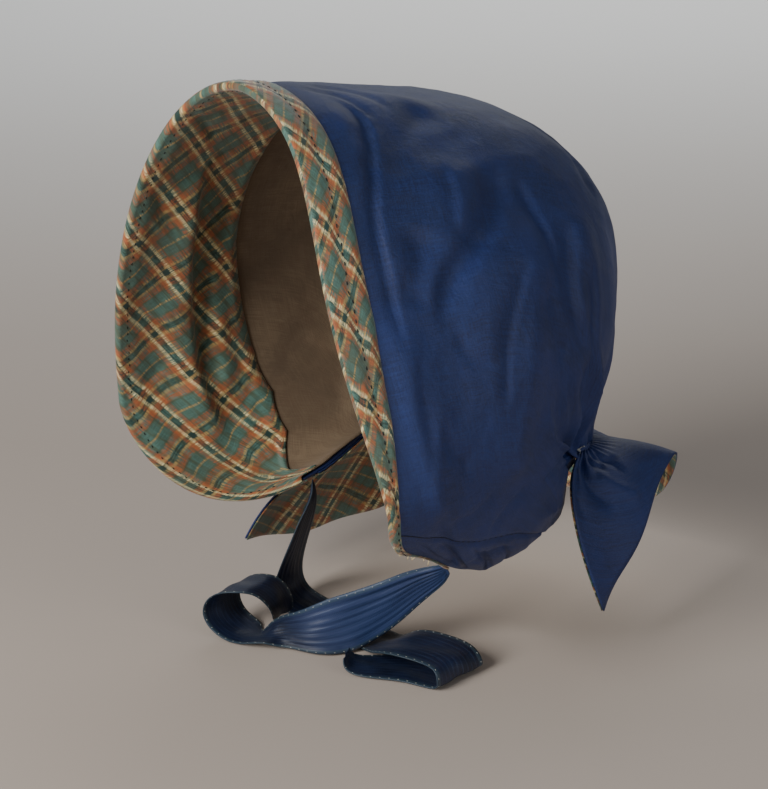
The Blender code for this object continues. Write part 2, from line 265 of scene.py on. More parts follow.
FOLDS = [
    Fold(0.16, 0.16, 0.62, 0.22, -0.0020, 0.0120),
    Fold(0.22, 0.44, 0.36, 0.30, -0.0024, 0.0140),
    Fold(0.30, 0.62, 0.62, 0.86, -0.0026, 0.0140),
    Fold(0.05, 0.72, 0.10, 0.98, -0.0022, 0.0130),
    Fold(-0.30, 0.60, -0.45, 0.90, -0.0024, 0.0140),
    Fold(-0.30, 0.22, -0.72, 0.26, -0.0028, 0.0140),
    Fold(-0.42, 0.06, -0.66, 0.14, -0.0020, 0.0120),
    Fold(0.66, 0.30, 0.90, 0.62, -0.0024, 0.0150),
]

# Wearer's right front corner first, round the back of the neck to the left end.
FLARES = [
    Flare(0.96, -0.088, -0.036, -0.2520, -0.100, -0.050, -0.2915),
    Flare(0.80, -0.096, 0.010, -0.2530, -0.107, 0.000, -0.3000),
    Flare(0.62, -0.100, 0.054, -0.2400, -0.108, 0.052, -0.3010),
    Flare(0.47, -0.097, 0.086, -0.2320, -0.103, 0.095, -0.2940),
    Flare(0.36, -0.064, 0.128, -0.2260, -0.070, 0.140, -0.2870),
    Flare(0.25, 0.000, 0.142, -0.2240, -0.004, 0.162, -0.2840),
    Flare(0.16, 0.050, 0.134, -0.2190, 0.062, 0.151, -0.2600),
    Flare(0.10, 0.075, 0.111, -0.2120, 0.090, 0.1315, -0.2235),
    Flare(0.05, 0.098, 0.078, -0.2150, 0.108, 0.0885, -0.2570),
    Flare(0.02, 0.110, 0.018, -0.2120, 0.120, 0.049, -0.2925),
]

TIE_LEFT = [
    Station(0.0638, -0.0240, -0.2650, 0.008, -76, 60),
    Station(0.0492, -0.0190, -0.2755, 0.016, -78, 66),
    Station(0.0387, -0.0274, -0.2840, 0.025, -84, 68),
    Station(0.0298, -0.0391, -0.2935, 0.033, -86, 70),
    Station(0.0175, -0.0498, -0.3035, 0.038, -95, 70),
    Station(0.0078, -0.0630, -0.3098, 0.036, -130, 70),
    Station(-0.0049, -0.0746, -0.3145, 0.027, -175, 64),
    Station(-0.0232, -0.0794, -0.3198, 0.021, -205, 38),
    Station(-0.0329, -0.0860, -0.3242, 0.026, -218, -6),
    Station(-0.0475, -0.0870, -0.3268, 0.032, -245, 0),
    Station(-0.0617, -0.0902, -0.3225, 0.035, -254, 0),
    Station(-0.0677, -0.0919, -0.3115, 0.036, -254, 0),
    Station(-0.0623, -0.0882, -0.3005, 0.036, -254, 0),
    Station(-0.0486, -0.0822, -0.2960, 0.033, -254, 0),
    Station(-0.0440, -0.0730, -0.3005, 0.028, -254, 0),
    Station(-0.0440, -0.0650, -0.3115, 0.023, -254, 0),
    Station(-0.0490, -0.0595, -0.3225, 0.020, -254, 0),
]

TIE_RIGHT = [
    Station(-0.0618, -0.0262, -0.2478, 0.006, -40, 0),
    Station(-0.0585, -0.0290, -0.2570, 0.014, -58, 0),
    Station(-0.0590, -0.0330, -0.2680, 0.024, -64, 0),
    Station(-0.0620, -0.0355, -0.2800, 0.029, -64, 0),
    Station(-0.0680, -0.0370, -0.2960, 0.031, -66, 0),
    Station(-0.0745, -0.0360, -0.3130, 0.032, -70, 0),
    Station(-0.0715, -0.0345, -0.3240, 0.032, -76, 0),
    Station(-0.0560, -0.0340, -0.3268, 0.032, -82, 0),
    Station(-0.0360, -0.0340, -0.3268, 0.033, -85, 0),
    Station(-0.0120, -0.0340, -0.3268, 0.032, -86, 0),
    Station(0.0080, -0.0330, -0.3266, 0.030, -86, 0),
    Station(0.0245, -0.0370, -0.3222, 0.033, -80, 0),
    Station(0.0433, -0.0394, -0.3140, 0.040, -72, 0),
    Station(0.0624, -0.0338, -0.3130, 0.041, -72, 0),
    Station(0.0782, -0.0318, -0.3140, 0.041, -74, 0),
    Station(0.0835, -0.0310, -0.3205, 0.041, -80, 0),
    Station(0.0780, -0.0310, -0.3266, 0.040, -78, 0),
    Station(0.0570, -0.0390, -0.3268, 0.040, -66, 0),
    Station(0.0410, -0.0520, -0.3268, 0.036, -62, 0),
    Station(0.0310, -0.0635, -0.3262, 0.027, -56, 0),
    Station(0.0262, -0.0680, -0.3235, 0.021, -52, 0),
    Station(0.0252, -0.0690, -0.3195, 0.017, -50, 0),
]

# Creases of the outer silk, in u and v.
SILK_CREASES = [
    Crease(-0.0016, 0.0012, 0.0050, ((0.05, 0.12), (0.14, 0.15), (0.26, 0.11), (0.36, 0.10), (0.46, 0.10))),
    Crease(-0.0010, 0.0050, 0.0090, ((0.46, 0.10), (0.52, 0.11), (0.60, 0.09), (0.67, 0.10))),
    Crease(-0.0024, 0.0040, 0.0110, ((0.22, 0.33), (0.28, 0.33), (0.33, 0.30), (0.36, 0.26), (0.39, 0.21),
                                     (0.43, 0.16))),
    Crease(0.0020, 0.0090, 0.0260, ((0.20, 0.28), (0.26, 0.27), (0.31, 0.245), (0.36, 0.19), (0.42, 0.13))),
    Crease(0.0014, 0.0090, 0.0180, ((0.04, 0.27), (0.09, 0.24), (0.15, 0.20), (0.24, 0.16))),
    Crease(0.0022, 0.0120, 0.0400, ((0.28, 0.35), (0.36, 0.36), (0.45, 0.36), (0.55, 0.35), (0.65, 0.36),
                                    (0.78, 0.38))),
    Crease(0.0016, 0.0080, 0.0100, ((0.28, 0.46), (0.36, 0.49), (0.46, 0.52), (0.55, 0.60))),
    Crease(0.0018, 0.0080, 0.0060, ((0.38, 0.075), (0.46, 0.08), (0.54, 0.085), (0.62, 0.10), (0.72, 0.12))),
    Crease(-0.0014, 0.0014, 0.0050, ((0.02, 0.44), (0.06, 0.47), (0.12, 0.51), (0.24, 0.53))),
    Crease(-0.0013, 0.0014, 0.0045, ((0.25, 0.37), (0.31, 0.39), (0.36, 0.41), (0.42, 0.45))),
    Crease(-0.0006, 0.0012, 0.0030, ((0.32, 0.22), (0.35, 0.28), (0.36, 0.34))),
    Crease(-0.0016, 0.0020, 0.0040, ((0.50, 0.44), (0.57, 0.56), (0.61, 0.76), (0.625, 1.0))),
    Crease(-0.0012, 0.0012, 0.0026, ((0.72, 0.05), (0.80, 0.07), (0.92, 0.08))),
    Crease(-0.0014, 0.0014, 0.0030, ((0.76, 0.10), (0.85, 0.13), (0.97, 0.13))),
    Crease(-0.0012, 0.0012, 0.0026, ((0.80, 0.18), (0.90, 0.21), (0.99, 0.19))),
    Crease(-0.0010, 0.0012, 0.0026, ((0.86, 0.29), (0.93, 0.31), (1.00, 0.30))),
    Crease(0.0025, 0.0030, 0.0050, ((0.48, 0.56), (0.53, 0.72), (0.58, 0.88), (0.62, 1.0))),
    Crease(0.0022, 0.0030, 0.0030, ((0.58, 0.42), (0.63, 0.57), (0.645, 0.76), (0.63, 1.0))),
    Crease(-0.0015, 0.0020, 0.0035, ((0.76, 0.46), (0.71, 0.60), (0.665, 0.80), (0.64, 1.0))),
    Crease(-0.0018, 0.0060, 0.0080, ((0.31, 0.18), (0.37, 0.15), (0.41, 0.13))),
    Crease(-0.0018, 0.0070, 0.0100, ((0.09, 0.29), (0.15, 0.22), (0.21, 0.17), (0.25, 0.16))),
    Crease(-0.0007, 0.0018, 0.0030, ((0.03, 0.09), (0.05, 0.14), (0.09, 0.16), (0.14, 0.17))),
    Crease(-0.0007, 0.0018, 0.0030, ((0.01, 0.11), (0.03, 0.17), (0.07, 0.20), (0.12, 0.21))),
    Crease(-0.0018, 0.0030, 0.0080, ((0.42, 0.40), (0.45, 0.42), (0.49, 0.45), (0.52, 0.50))),
    Crease(-0.0020, 0.0030, 0.0070, ((0.31, 0.45), (0.39, 0.45), (0.46, 0.48), (0.52, 0.56))),
    Crease(-0.0020, 0.0030, 0.0070, ((0.36, 0.49), (0.43, 0.52), (0.50, 0.57), (0.55, 0.70))),
    Crease(0.0016, 0.0100, 0.0140, ((0.45, 0.37), (0.57, 0.40), (0.64, 0.40), (0.72, 0.39))),
    Crease(-0.0024, 0.0025, 0.0070, ((0.50, 0.45), (0.56, 0.50), (0.61, 0.60), (0.62, 0.84), (0.63, 1.0))),
    Crease(-0.0022, 0.0030, 0.0060, ((0.50, 0.52), (0.55, 0.64), (0.58, 0.84), (0.60, 1.0))),
    Crease(-0.0011, 0.0018, 0.0060, ((0.54, 0.14), (0.58, 0.18), (0.62, 0.24))),
    Crease(-0.0013, 0.0022, 0.0050, ((0.66, 0.62), (0.65, 0.76), (0.64, 0.92), (0.63, 1.0))),
    Crease(-0.0010, 0.0022, 0.0050, ((0.74, 0.66), (0.71, 0.80), (0.67, 0.94), (0.64, 1.0))),
    Crease(0.0018, 0.0035, 0.0040, ((0.55, 0.60), (0.58, 0.74), (0.60, 0.88), (0.61, 1.0))),
    Crease(-0.0009, 0.0016, 0.0040, ((0.47, 0.72), (0.52, 0.82), (0.57, 0.94), (0.60, 1.0))),
    Crease(-0.0008, 0.0014, 0.0060, ((0.38, 0.36), (0.44, 0.33), (0.51, 0.31), (0.58, 0.32))),
    Crease(-0.0007, 0.0014, 0.0050, ((0.22, 0.24), (0.29, 0.24), (0.33, 0.22))),
    Crease(-0.0007, 0.0014, 0.0040, ((0.44, 0.20), (0.49, 0.24), (0.51, 0.30))),
    Crease(-0.0008, 0.0014, 0.0050, ((0.70, 0.14), (0.72, 0.22), (0.70, 0.31))),
    Crease(-0.0008, 0.0014, 0.0050, ((0.80, 0.24), (0.76, 0.33), (0.74, 0.44))),
    Crease(-0.0009, 0.0016, 0.0050, ((0.88, 0.14), (0.86, 0.24), (0.90, 0.34))),
    Crease(-0.0016, 0.0040, 0.0080, ((0.60, 0.08), (0.72, 0.12), (0.86, 0.11), (0.97, 0.04))),
    Crease(-0.0011, 0.0030, 0.0050, ((0.83, 0.21), (0.96, 0.23))),
    Crease(-0.0016, 0.0040, 0.0090, ((-0.20, 0.16), (-0.34, 0.14), (-0.52, 0.20), (-0.66, 0.24))),
    Crease(-0.0020, 0.0050, 0.0100, ((-0.12, 0.36), (-0.26, 0.34), (-0.40, 0.42))),
    Crease(-0.0022, 0.0030, 0.0070, ((-0.36, 0.48), (-0.50, 0.60), (-0.58, 0.84), (-0.60, 1.0))),
    Crease(-0.0020, 0.0035, 0.0080, ((-0.20, 0.55), (-0.34, 0.66), (-0.42, 0.88))),
    Crease(-0.0016, 0.0040, 0.0080, ((-0.60, 0.14), (-0.76, 0.16), (-0.92, 0.12))),
]

# The stitched tuck above the hem, from the front edge back to the hem, on both sides.
HEM_SEAM = ((0.66, 0.00), (0.69, 0.04), (0.75, 0.11), (0.81, 0.22), (0.86, 0.35), (0.93, 0.46), (1.00, 0.56))
HEM_SEAM_DEPTH = 0.0019
HEM_SEAM_WIDTH = 0.0018


def smooth_rows(rows, place):
    """Read a table at any place from 0, its first row, to 1, its last, on a natural cubic."""
    values = np.asarray(rows, dtype=float)
    count = len(values)
    system = np.eye(count)
    bends = np.zeros_like(values)
    for row in range(1, count - 1):
        system[row, row - 1:row + 2] = 1, 4, 1
        bends[row] = 6 * (values[row - 1] - 2 * values[row] + values[row + 1])
    bends = np.linalg.solve(system, bends)
    position = np.clip(place, 0, 1) * (count - 1)
    below = np.minimum(position.astype(int), count - 2)
    part = (position - below)[..., None]
    rest = 1 - part
    return (rest * values[below] + part * values[below + 1]
            + (rest ** 3 - rest) / 6 * bends[below] + (part ** 3 - part) / 6 * bends[below + 1])


def ease(value, low, high):
    """A smooth step from 0 at low to 1 at high."""
    t = np.clip((value - low) / (high - low), 0, 1)
    return t * t * (3 - 2 * t)


def hood_form(u, v):
    """The smooth outside of the hood: u runs from right hem -1 over the crown to left hem 1,
    v from the front edge 0 to the nape 1."""
    u = np.clip(u, -1, 1)
    arch = Arch(*np.moveaxis(smooth_rows(ARCHES, v), -1, 0))
    left = smooth_rows(LEFT_FLANKS, v)
    right = smooth_rows(RIGHT_FLANKS, v)
    flank = np.where((u >= 0)[..., None], left, right)
    side_sign = np.where(u >= 0, 1.0, -1.0)
    share = np.abs(u)

    angle = np.clip(share / ARCH_SHARE, 0, 1) * math.pi / 2
    rise = np.maximum(np.cos(angle), 0)
    spread = np.sin(angle)
    power = 2 / arch.roundness
    out = (arch.side_x * spread ** power
           + arch.shoulder * np.sin(4 * angle) * np.sqrt(rise))
    forward = arch.bow * BOW_SCALE * spread ** 3 * rise ** 1.5
    hoop = np.stack([
        side_sign * out,
        arch.side_y + (arch.top_y - arch.side_y) * rise ** power - forward,
        arch.side_z + (arch.top_z - arch.side_z) * rise ** power,
    ], -1)

    t = np.clip((share - ARCH_SHARE) / (1 - ARCH_SHARE), 0, 1)[..., None]
    side = np.stack([side_sign * arch.side_x, arch.side_y, arch.side_z], -1)
    hem = flank[..., :3]
    fall = np.zeros_like(side)
    fall[..., 2] = FALL_SHARE * (hem[..., 2] - arch.side_z)
    below_side = side + fall
    above_hem = hem + flank[..., 3:]
    lower = ((1 - t) ** 3 * side + 3 * (1 - t) ** 2 * t * below_side
             + 3 * (1 - t) * t ** 2 * above_hem + t ** 3 * hem)
    return np.where((share <= ARCH_SHARE)[..., None], hoop, lower)


def outward(form, u, v):
    """Unit normals of a form, by small steps along it."""
    u = np.clip(u, -1, 1)
    across = form(np.minimum(u + NORMAL_STEP, 1), v) - form(np.maximum(u - NORMAL_STEP, -1), v)
    along = form(u, np.minimum(v + NORMAL_STEP, 1)) - form(u, np.maximum(v - NORMAL_STEP, 0))
    normal = np.cross(across, along)
    return normal / np.linalg.norm(normal, axis=-1, keepdims=True)


def on_cloth(u, v):
    """A place on the hood in metres: round from the crown line, and back from the front edge."""
    return np.stack([u * CROWN_TO_HEM, v * FRONT_TO_NAPE], -1)


def on_facing(u, depth):
    """A place on the facing in metres: round the rim, and back from it."""
    return np.stack([u * CROWN_TO_HEM * RIM_STRETCH, depth], -1)


def on_curtain(a, b):
    """A place on the curtain in metres: along its seam, and down from it."""
    return np.stack([a * CURTAIN_SPAN[0], b * CURTAIN_SPAN[1]], -1)


def lengths_along(places, axis=0):
    """The way gone from the first place to each other one, along one axis of an array of places."""
    gone = np.cumsum(np.linalg.norm(np.diff(places, axis=axis), axis=-1), axis=axis)
    return np.pad(gone, [(int(number == axis), 0) for number in range(gone.ndim)])


def fold_height(u, v):
    """The folds and nape gathers that every layer shares."""
    swell = np.clip((v - GATHER_START) / (1 - GATHER_START), 0, 1) ** GATHER_GROWTH
    swell = swell * np.clip((GATHER_END - np.abs(u)) / GATHER_FADE, 0, 1)
    height = GATHER_HEIGHT * swell * np.cos(math.pi * GATHER_COUNT * u)
    for fold in FOLDS:
        start = on_cloth(fold.from_u, fold.from_v)
        run = on_cloth(fold.to_u, fold.to_v) - start
        here = on_cloth(u, v) - start
        share = np.clip(here @ run / (run @ run), 0, 1)
        away = np.linalg.norm(here - share[..., None] * run, axis=-1)
        fade = np.sin(math.pi * np.clip(share, FOLD_END_SHARE, 1 - FOLD_END_SHARE))
        height = height + fold.height * fade * np.exp(-(away / fold.width) ** 2)
    return height


def hood_layer(u, v, lift=0.0):
    """The hood's surface with its folds, moved out by lift or in by a negative one."""
    height = fold_height(u, v) + lift
    return hood_form(u, v) + height[..., None] * outward(hood_form, u, v)


def depth_table():
    """For each of many hoops from hem to hem, the v at each of many depths behind the front edge."""
    steps = np.linspace(0, 1, DEPTH_STEPS)
    u, v = np.meshgrid(np.linspace(-1, 1, HOOPS), steps)
    lengths = lengths_along(hood_form(u, v))
    depths = np.linspace(0, DEEPEST, DEPTHS)
    return np.array([np.interp(depths, lengths[:, column], steps) for column in range(HOOPS)])


DEPTH_TABLE = depth_table()


def v_at_depth(u, depth):
    """The v that lies a given distance behind the front edge."""
    x = (np.clip(u, -1, 1) + 1) / 2 * (HOOPS - 1)
    y = np.clip(depth / DEEPEST, 0, 1) * (DEPTHS - 1)
    i = np.minimum(x.astype(int), HOOPS - 2)
    j = np.minimum(y.astype(int), DEPTHS - 2)
    s, t = x - i, y - j
    low = DEPTH_TABLE[i, j] * (1 - s) + DEPTH_TABLE[i + 1, j] * s
    high = DEPTH_TABLE[i, j + 1] * (1 - s) + DEPTH_TABLE[i + 1, j + 1] * s
    return low * (1 - t) + high * t


def band_width(table, u):
    """A band's width in metres at u, the same on both sides."""
    return np.interp(np.abs(u), [row.share for row in table], [row.width for row in table])


def crease_height(crease, place, lay, closed_ends=True):
    """Height of one crease at places in metres on the cloth, where lay puts its points."""
    points = smooth_rows([lay(*point) for point in crease.points], np.linspace(0, 1, CREASE_STEPS))
    gone = lengths_along(points)
    best = np.full(place.shape[:-1], np.inf)
    side = np.zeros_like(best)
    share = np.zeros_like(best)
    for start, end, before, after in zip(points[:-1], points[1:], gone[:-1], gone[1:]):
        run = end - start
        here = place - start
        part = np.clip(here @ run / (run @ run), 0, 1)
        away = here - part[..., None] * run
        distance = np.linalg.norm(away, axis=-1)
        nearer = distance < best
        best = np.where(nearer, distance, best)
        turn = run[0] * here[..., 1] - run[1] * here[..., 0]
        side = np.where(nearer, turn, side)
        share = np.where(nearer, (before + part * (after - before)) / gone[-1], share)
    width = np.where(side > 0, crease.left, crease.right)
    fade = ease(share, 0, CREASE_FADE) * (1 - ease(share, 1 - CREASE_FADE, 1)) if closed_ends else 1.0
    return crease.height * fade * np.exp(-(best / width) ** 2)


def spline_weights(t):
    """The shares that a smooth curve takes of four neighbours, t past the second."""
    return ((1 - t) ** 3 / 6, (3 * t ** 3 - 6 * t ** 2 + 4) / 6,
            (-3 * t ** 3 + 3 * t ** 2 + 3 * t + 1) / 6, t ** 3 / 6)


class Relief:
    """Heights over a whole sheet, read at any u from -1 to 1 and b from 0 to 1."""

    def __init__(self, heights):
        self.heights = heights

    def at(self, u, b):
        rows, columns = self.heights.shape
        x = (np.clip(u, -1, 1) + 1) / 2 * (columns - 1)
        y = np.clip(b, 0, 1) * (rows - 1)
        i = np.minimum(x.astype(int), columns - 2)
        j = np.minimum(y.astype(int), rows - 2)
        across, down = spline_weights(x - i), spline_weights(y - j)
        height = np.zeros_like(x)
        for step in range(4):
            row = np.clip(j + step - 1, 0, rows - 1)
            for stride in range(4):
                column = np.clip(i + stride - 1, 0, columns - 1)
                height = height + down[step] * across[stride] * self.heights[row, column]
        return height


def soft_seed(columns, rows, number):
    """Broad random hollows and swells from -1 to 1, the same on each run."""
    heights = np.random.default_rng(number).uniform(-1, 1, (rows + 1, columns + 1))
    for _ in range(SEED_PASSES):
        edged = np.pad(heights, 1, mode="edge")
        heights = (edged[:-2, 1:-1] + edged[2:, 1:-1] + edged[1:-1, :-2] + edged[1:-1, 2:]) / 4
    return heights / np.abs(heights).max()


def grid_indices(flat, columns, rows):
    """The column and row of each vertex of a flat grid from -1 to 1."""
    i = np.rint((flat[:, 0] + 1) / 2 * columns).astype(int)
    j = np.rint((flat[:, 1] + 1) / 2 * rows).astype(int)
    return i, j


def placed(name, data):
    """A new object in the scene, with its mesh, curve, lamp or camera."""
    thing = bpy.data.objects.new(name, data)
    bpy.context.scene.collection.objects.link(thing)
    return thing


def draped(form, columns, rows, grip, growth, push, low, high, stiffness, frames):
    """Simulate a sheet that a light pressure pushes off its form, held where grip is high.

    The result is how far it ends off the form, capped from low to high."""
    cloth = bmesh.new()
    bmesh.ops.create_grid(cloth, x_segments=columns, y_segments=rows, size=1.0)
    flat = np.array([vertex.co for vertex in cloth.verts])
    u, b = flat[:, 0], (flat[:, 1] + 1) / 2
    rest = form(u, b)
    normal = outward(form, u, b)
    i, j = grid_indices(flat, columns, rows)
    swell = SEED_HEIGHT * soft_seed(columns, rows, DRAPE_SEED)[j, i] * (1 - grip(u, b))
    start = rest + normal * swell[:, None]
    for vertex, place in zip(cloth.verts, start):
        vertex.co = place
    mesh = bpy.data.meshes.new("draping")
    cloth.to_mesh(mesh)
    cloth.free()
    piece = placed("draping", mesh)
    held = piece.vertex_groups.new(name="held")
    loose = piece.vertex_groups.new(name="loose")
    for index, (hold, extra) in enumerate(zip(grip(u, b), growth(u, b))):
        held.add([index], float(hold), "REPLACE")
        loose.add([index], float(extra), "REPLACE")
    modifier = piece.modifiers.new("drape", "CLOTH")
    settings = modifier.settings
    settings.quality = 5
    settings.mass = 0.1
    settings.tension_stiffness = 20
    settings.compression_stiffness = 20
    settings.shear_stiffness = 8
    settings.bending_stiffness = stiffness
    settings.tension_damping = 8
    settings.compression_damping = 8
    settings.bending_damping = 2
    settings.vertex_group_mass = "held"
    settings.vertex_group_shrink = "loose"
    settings.shrink_min = 0.0
    settings.shrink_max = -1.0
    settings.use_pressure = True
    settings.uniform_pressure_force = push
    settings.effector_weights.gravity = 0.0
    modifier.collision_settings.use_collision = False
    modifier.collision_settings.use_self_collision = False
    modifier.point_cache.frame_start = 1
    modifier.point_cache.frame_end = frames
    for number in range(1, frames + 1):
        bpy.context.scene.frame_set(number)
    finished = piece.evaluated_get(bpy.context.evaluated_depsgraph_get()).data
    places = np.zeros(len(finished.vertices) * 3)
    finished.vertices.foreach_get("co", places)
    off = ((places.reshape(-1, 3) - rest) * normal).sum(-1)
    bpy.data.objects.remove(piece)
    bpy.data.meshes.remove(mesh)
    bpy.context.scene.frame_set(1)
    heights = np.zeros((rows + 1, columns + 1))
    heights[j, i] = np.clip(off, low, high)
    print("draped", round(float(off.min()) * 1000, 2), round(float(off.max()) * 1000, 2), "mm")
    return Relief(heights)


# The silk's tacks through the padding, in u and v.
SILK_TACKS = (
    (0.29, 0.12), (0.26, 0.33), (0.16, 0.09), (0.61, 0.28), (0.59, 0.46), (0.54, 0.50), (0.20, 0.12),
    (0.44, 0.27), (0.02, 0.30), (0.00, 0.52), (0.16, 0.66), (0.74, 0.24), (0.80, 0.48), (-0.20, 0.14),
    (-0.24, 0.34), (-0.22, 0.62), (-0.44, 0.24), (-0.46, 0.48), (-0.62, 0.14), (-0.66, 0.36), (-0.78, 0.20),
)


def tacked(here, tacks, lay):
    """1 at each tack, falling to 0 over its radius, at places in metres on the cloth."""
    best = np.full(here.shape[:-1], np.inf)
    for tack in tacks:
        best = np.minimum(best, np.linalg.norm(here - lay(*tack), axis=-1))
    return np.clip(1 - best / TACK_RADIUS, 0, 1)


def rumple(u, v, number, across, down):
    """Smooth swells and hollows, as many across and down as asked, the same on each run."""
    values = np.random.default_rng(number).uniform(-1, 1, (down, across))
    return Relief(values).at(u, v)


def ridged(u, v, number, across, down):
    """The same swells, folded so that narrow ridges run between them."""
    return 0.5 - np.abs(rumple(u, v, number, across, down))


def silk_grip(u, v):
    """How firmly the simulated silk is held: at its edges, at its tacks, and a little all over."""
    edge = np.maximum(ease(v, 0.965, 1.0), 1 - ease(v, 0.09, 0.12))
    hem = ease(np.abs(u), 0.97, 1.0)
    tacks = tacked(on_cloth(u, v), SILK_TACKS, on_cloth)
    return np.clip(np.maximum.reduce([edge, hem, tacks, SILK_HOLD + 0 * u]), 0, 1)


def silk_growth(u, v):
    """The weight of the silk's loose group, which is highest where the nape gathers it."""
    nape = ease(v, 0.42, 1.0) * (1 - ease(np.abs(u), 0.56, 0.66))
    return SILK_EXTRA + NAPE_EXTRA * nape


SILK_SLACK = draped(hood_form, 130, 90, silk_grip, silk_growth, push=0.02, low=-0.0026, high=0.0040,
                    stiffness=3.0, frames=40)


def silk_relief(u, v):
    """How far the outer silk stands off its padding, from folds, slack and the stitched tuck."""
    place = on_cloth(u, v)
    pulled_u = u + 0.06 * rumple(u, v, *SILK_PULL_ROUND)
    pulled_v = v + 0.12 * rumple(u, v, *SILK_PULL_BACK)
    broad = rumple(pulled_u, pulled_v, *SILK_BROAD)
    ridges = ridged(pulled_u - 0.25 * pulled_v, pulled_v, *SILK_RIDGES)
    fine = ridged(pulled_u + 0.3 * pulled_v, pulled_v, *SILK_FINE)
    height = (SILK_PUFF + SILK_SLACK.at(u, v) + SILK_BROAD_HEIGHT * broad + SILK_RIDGE_HEIGHT * ridges
              + SILK_FINE_HEIGHT * fine)
    for crease in SILK_CREASES:
        height = height + CREASE_DEPTH * crease_height(crease, place, on_cloth)
    seam = Crease(-HEM_SEAM_DEPTH, HEM_SEAM_WIDTH, HEM_SEAM_WIDTH, HEM_SEAM)
    for side in (1, -1):
        height = height + crease_height(seam, on_cloth(side * u, v), on_cloth, closed_ends=False)
    height = height * ease(v * FRONT_TO_NAPE, 0.6 * band_width(TURNED_WIDTHS, u), 0.030)
    return np.where(height < 0, SILK_FLOOR * np.tanh(height / SILK_FLOOR), height)


def edge_round(u, v):
    """0 on the shell's edges, rising to 1 over the rounding of the padding."""
    inward = np.minimum.reduce([(1 - np.abs(u)) * CROWN_TO_HEM, (1 - v) * FRONT_TO_NAPE, v * FRONT_TO_NAPE])
    share = np.clip(inward / EDGE_ROUNDING, 0, 1)
    return np.sqrt(share * (2 - share))


def silk_outside(u, v):
    """The outer silk with all its relief."""
    lift = -SHELL / 2 + (SHELL / 2 + silk_relief(u, v)) * edge_round(u, v)
    return hood_layer(u, v, lift)


def silk_inside(u, v):
    """The backing of the padding, which meets the silk at the edges."""
    return hood_layer(u, v, -SHELL / 2 - SHELL / 2 * edge_round(u, v))


# The facing's quilting, in u and metres behind the front edge, on the wearer's right.
FACING_TACKS = ((-0.76, 0.021), (-0.77, 0.056), (-0.30, 0.037), (-0.43, 0.043), (-0.45, 0.079),
                (-0.40, 0.062), (-0.26, 0.057), (-0.60, 0.022), (-0.62, 0.066), (-0.88, 0.030),
                (-0.10, 0.030), (-0.12, 0.066), (-0.20, 0.012), (-0.52, 0.012))
FACING_CREASES = (
    Crease(0.0078, 0.0150, 0.0050, ((-0.26, 0.036), (-0.38, 0.041), (-0.50, 0.044), (-0.60, 0.046),
                                    (-0.70, 0.047), (-0.82, 0.044))),
    Crease(0.0030, 0.0040, 0.0090, ((-0.40, 0.070), (-0.52, 0.066), (-0.64, 0.068), (-0.76, 0.062))),
    Crease(-0.0016, 0.0020, 0.0040, ((-0.30, 0.004), (-0.36, 0.020), (-0.40, 0.036))),
    Crease(-0.0016, 0.0020, 0.0040, ((-0.46, 0.004), (-0.50, 0.016), (-0.54, 0.034))),
    Crease(-0.0016, 0.0020, 0.0040, ((-0.16, 0.004), (-0.20, 0.020), (-0.24, 0.040))),
    Crease(-0.0011, 0.0022, 0.0030, ((-0.36, 0.001), (-0.32, 0.018), (-0.30, 0.037), (-0.27, 0.055),
                                     (-0.26, 0.072))),
    Crease(-0.0011, 0.0022, 0.0030, ((-0.44, 0.043), (-0.40, 0.062), (-0.36, 0.080))),
    Crease(-0.0010, 0.0022, 0.0030, ((-0.22, 0.000), (-0.17, 0.022), (-0.12, 0.048), (-0.10, 0.078))),
    Crease(-0.0010, 0.0020, 0.0030, ((-0.05, 0.002), (0.00, 0.024), (0.03, 0.050), (0.04, 0.078))),
    Crease(-0.0010, 0.0025, 0.0040, ((-0.62, 0.000), (-0.60, 0.020), (-0.57, 0.034))),
    Crease(-0.0006, 0.0008, 0.0012, ((-0.70, 0.086), (-0.74, 0.076), (-0.79, 0.062))),
)


def facing_surface(u, b):
    """The facing's inner side without puckers, from the rim 0 to its seam 1."""
    depth = b * band_width(FACING_DEPTHS, u)
    return hood_layer(u, v_at_depth(u, depth), -(SHELL + GAP + LINING / 2))


def facing_place(u, b):
    """A place on the facing in metres, with both sides laid on the wearer's right."""
    return on_facing(-np.abs(u), b * band_width(FACING_DEPTHS, u))


def facing_grip(u, b):
    """How firmly the simulated facing is held: at its seams, at its tacks, and a little all over."""
    tacks = tacked(facing_place(u, b), FACING_TACKS, on_facing)
    edges = np.maximum(1 - ease(b, 0.0, 0.06), ease(b, 0.96, 1.0))
    return np.clip(np.maximum.reduce([tacks, edges, ease(np.abs(u), 0.97, 1.0), FACING_HOLD + 0 * u]), 0, 1)


def facing_growth(u, b):
    """The weight of the facing's loose group, which is highest towards the chin."""
    return FACING_EXTRA + CHIN_EXTRA * ease(np.abs(u), 0.55, 0.85)


FACING_SLACK = draped(facing_surface, 170, 26, facing_grip, facing_growth, push=-0.04, low=-0.0045,
                      high=0.0003, stiffness=2.0, frames=36)


def facing_relief(u, b):
    """How far the facing stands in from its bed inside the hood."""
    place = facing_place(u, b)
    pulled_u = u + 0.03 * rumple(u, b, *FACING_PULL_ROUND)
    broad = rumple(pulled_u, b + 0.2 * rumple(u, b, *FACING_PULL_BACK), *FACING_BROAD)
    ridges = ridged(pulled_u, b, *FACING_RIDGES)
    height = -FACING_SLACK.at(u, b) + FACING_BROAD_HEIGHT * (broad + 0.6) + FACING_RIDGE_HEIGHT * ridges
    for crease in FACING_CREASES:
        height = height + crease_height(crease, place, on_facing)
    height = height * ease(b, 0.0, 0.10) * (1 - ease(b, 0.93, 1.0)) * (1 - ease(np.abs(u), 0.95, 1.0))
    return np.maximum(height, -0.0002)


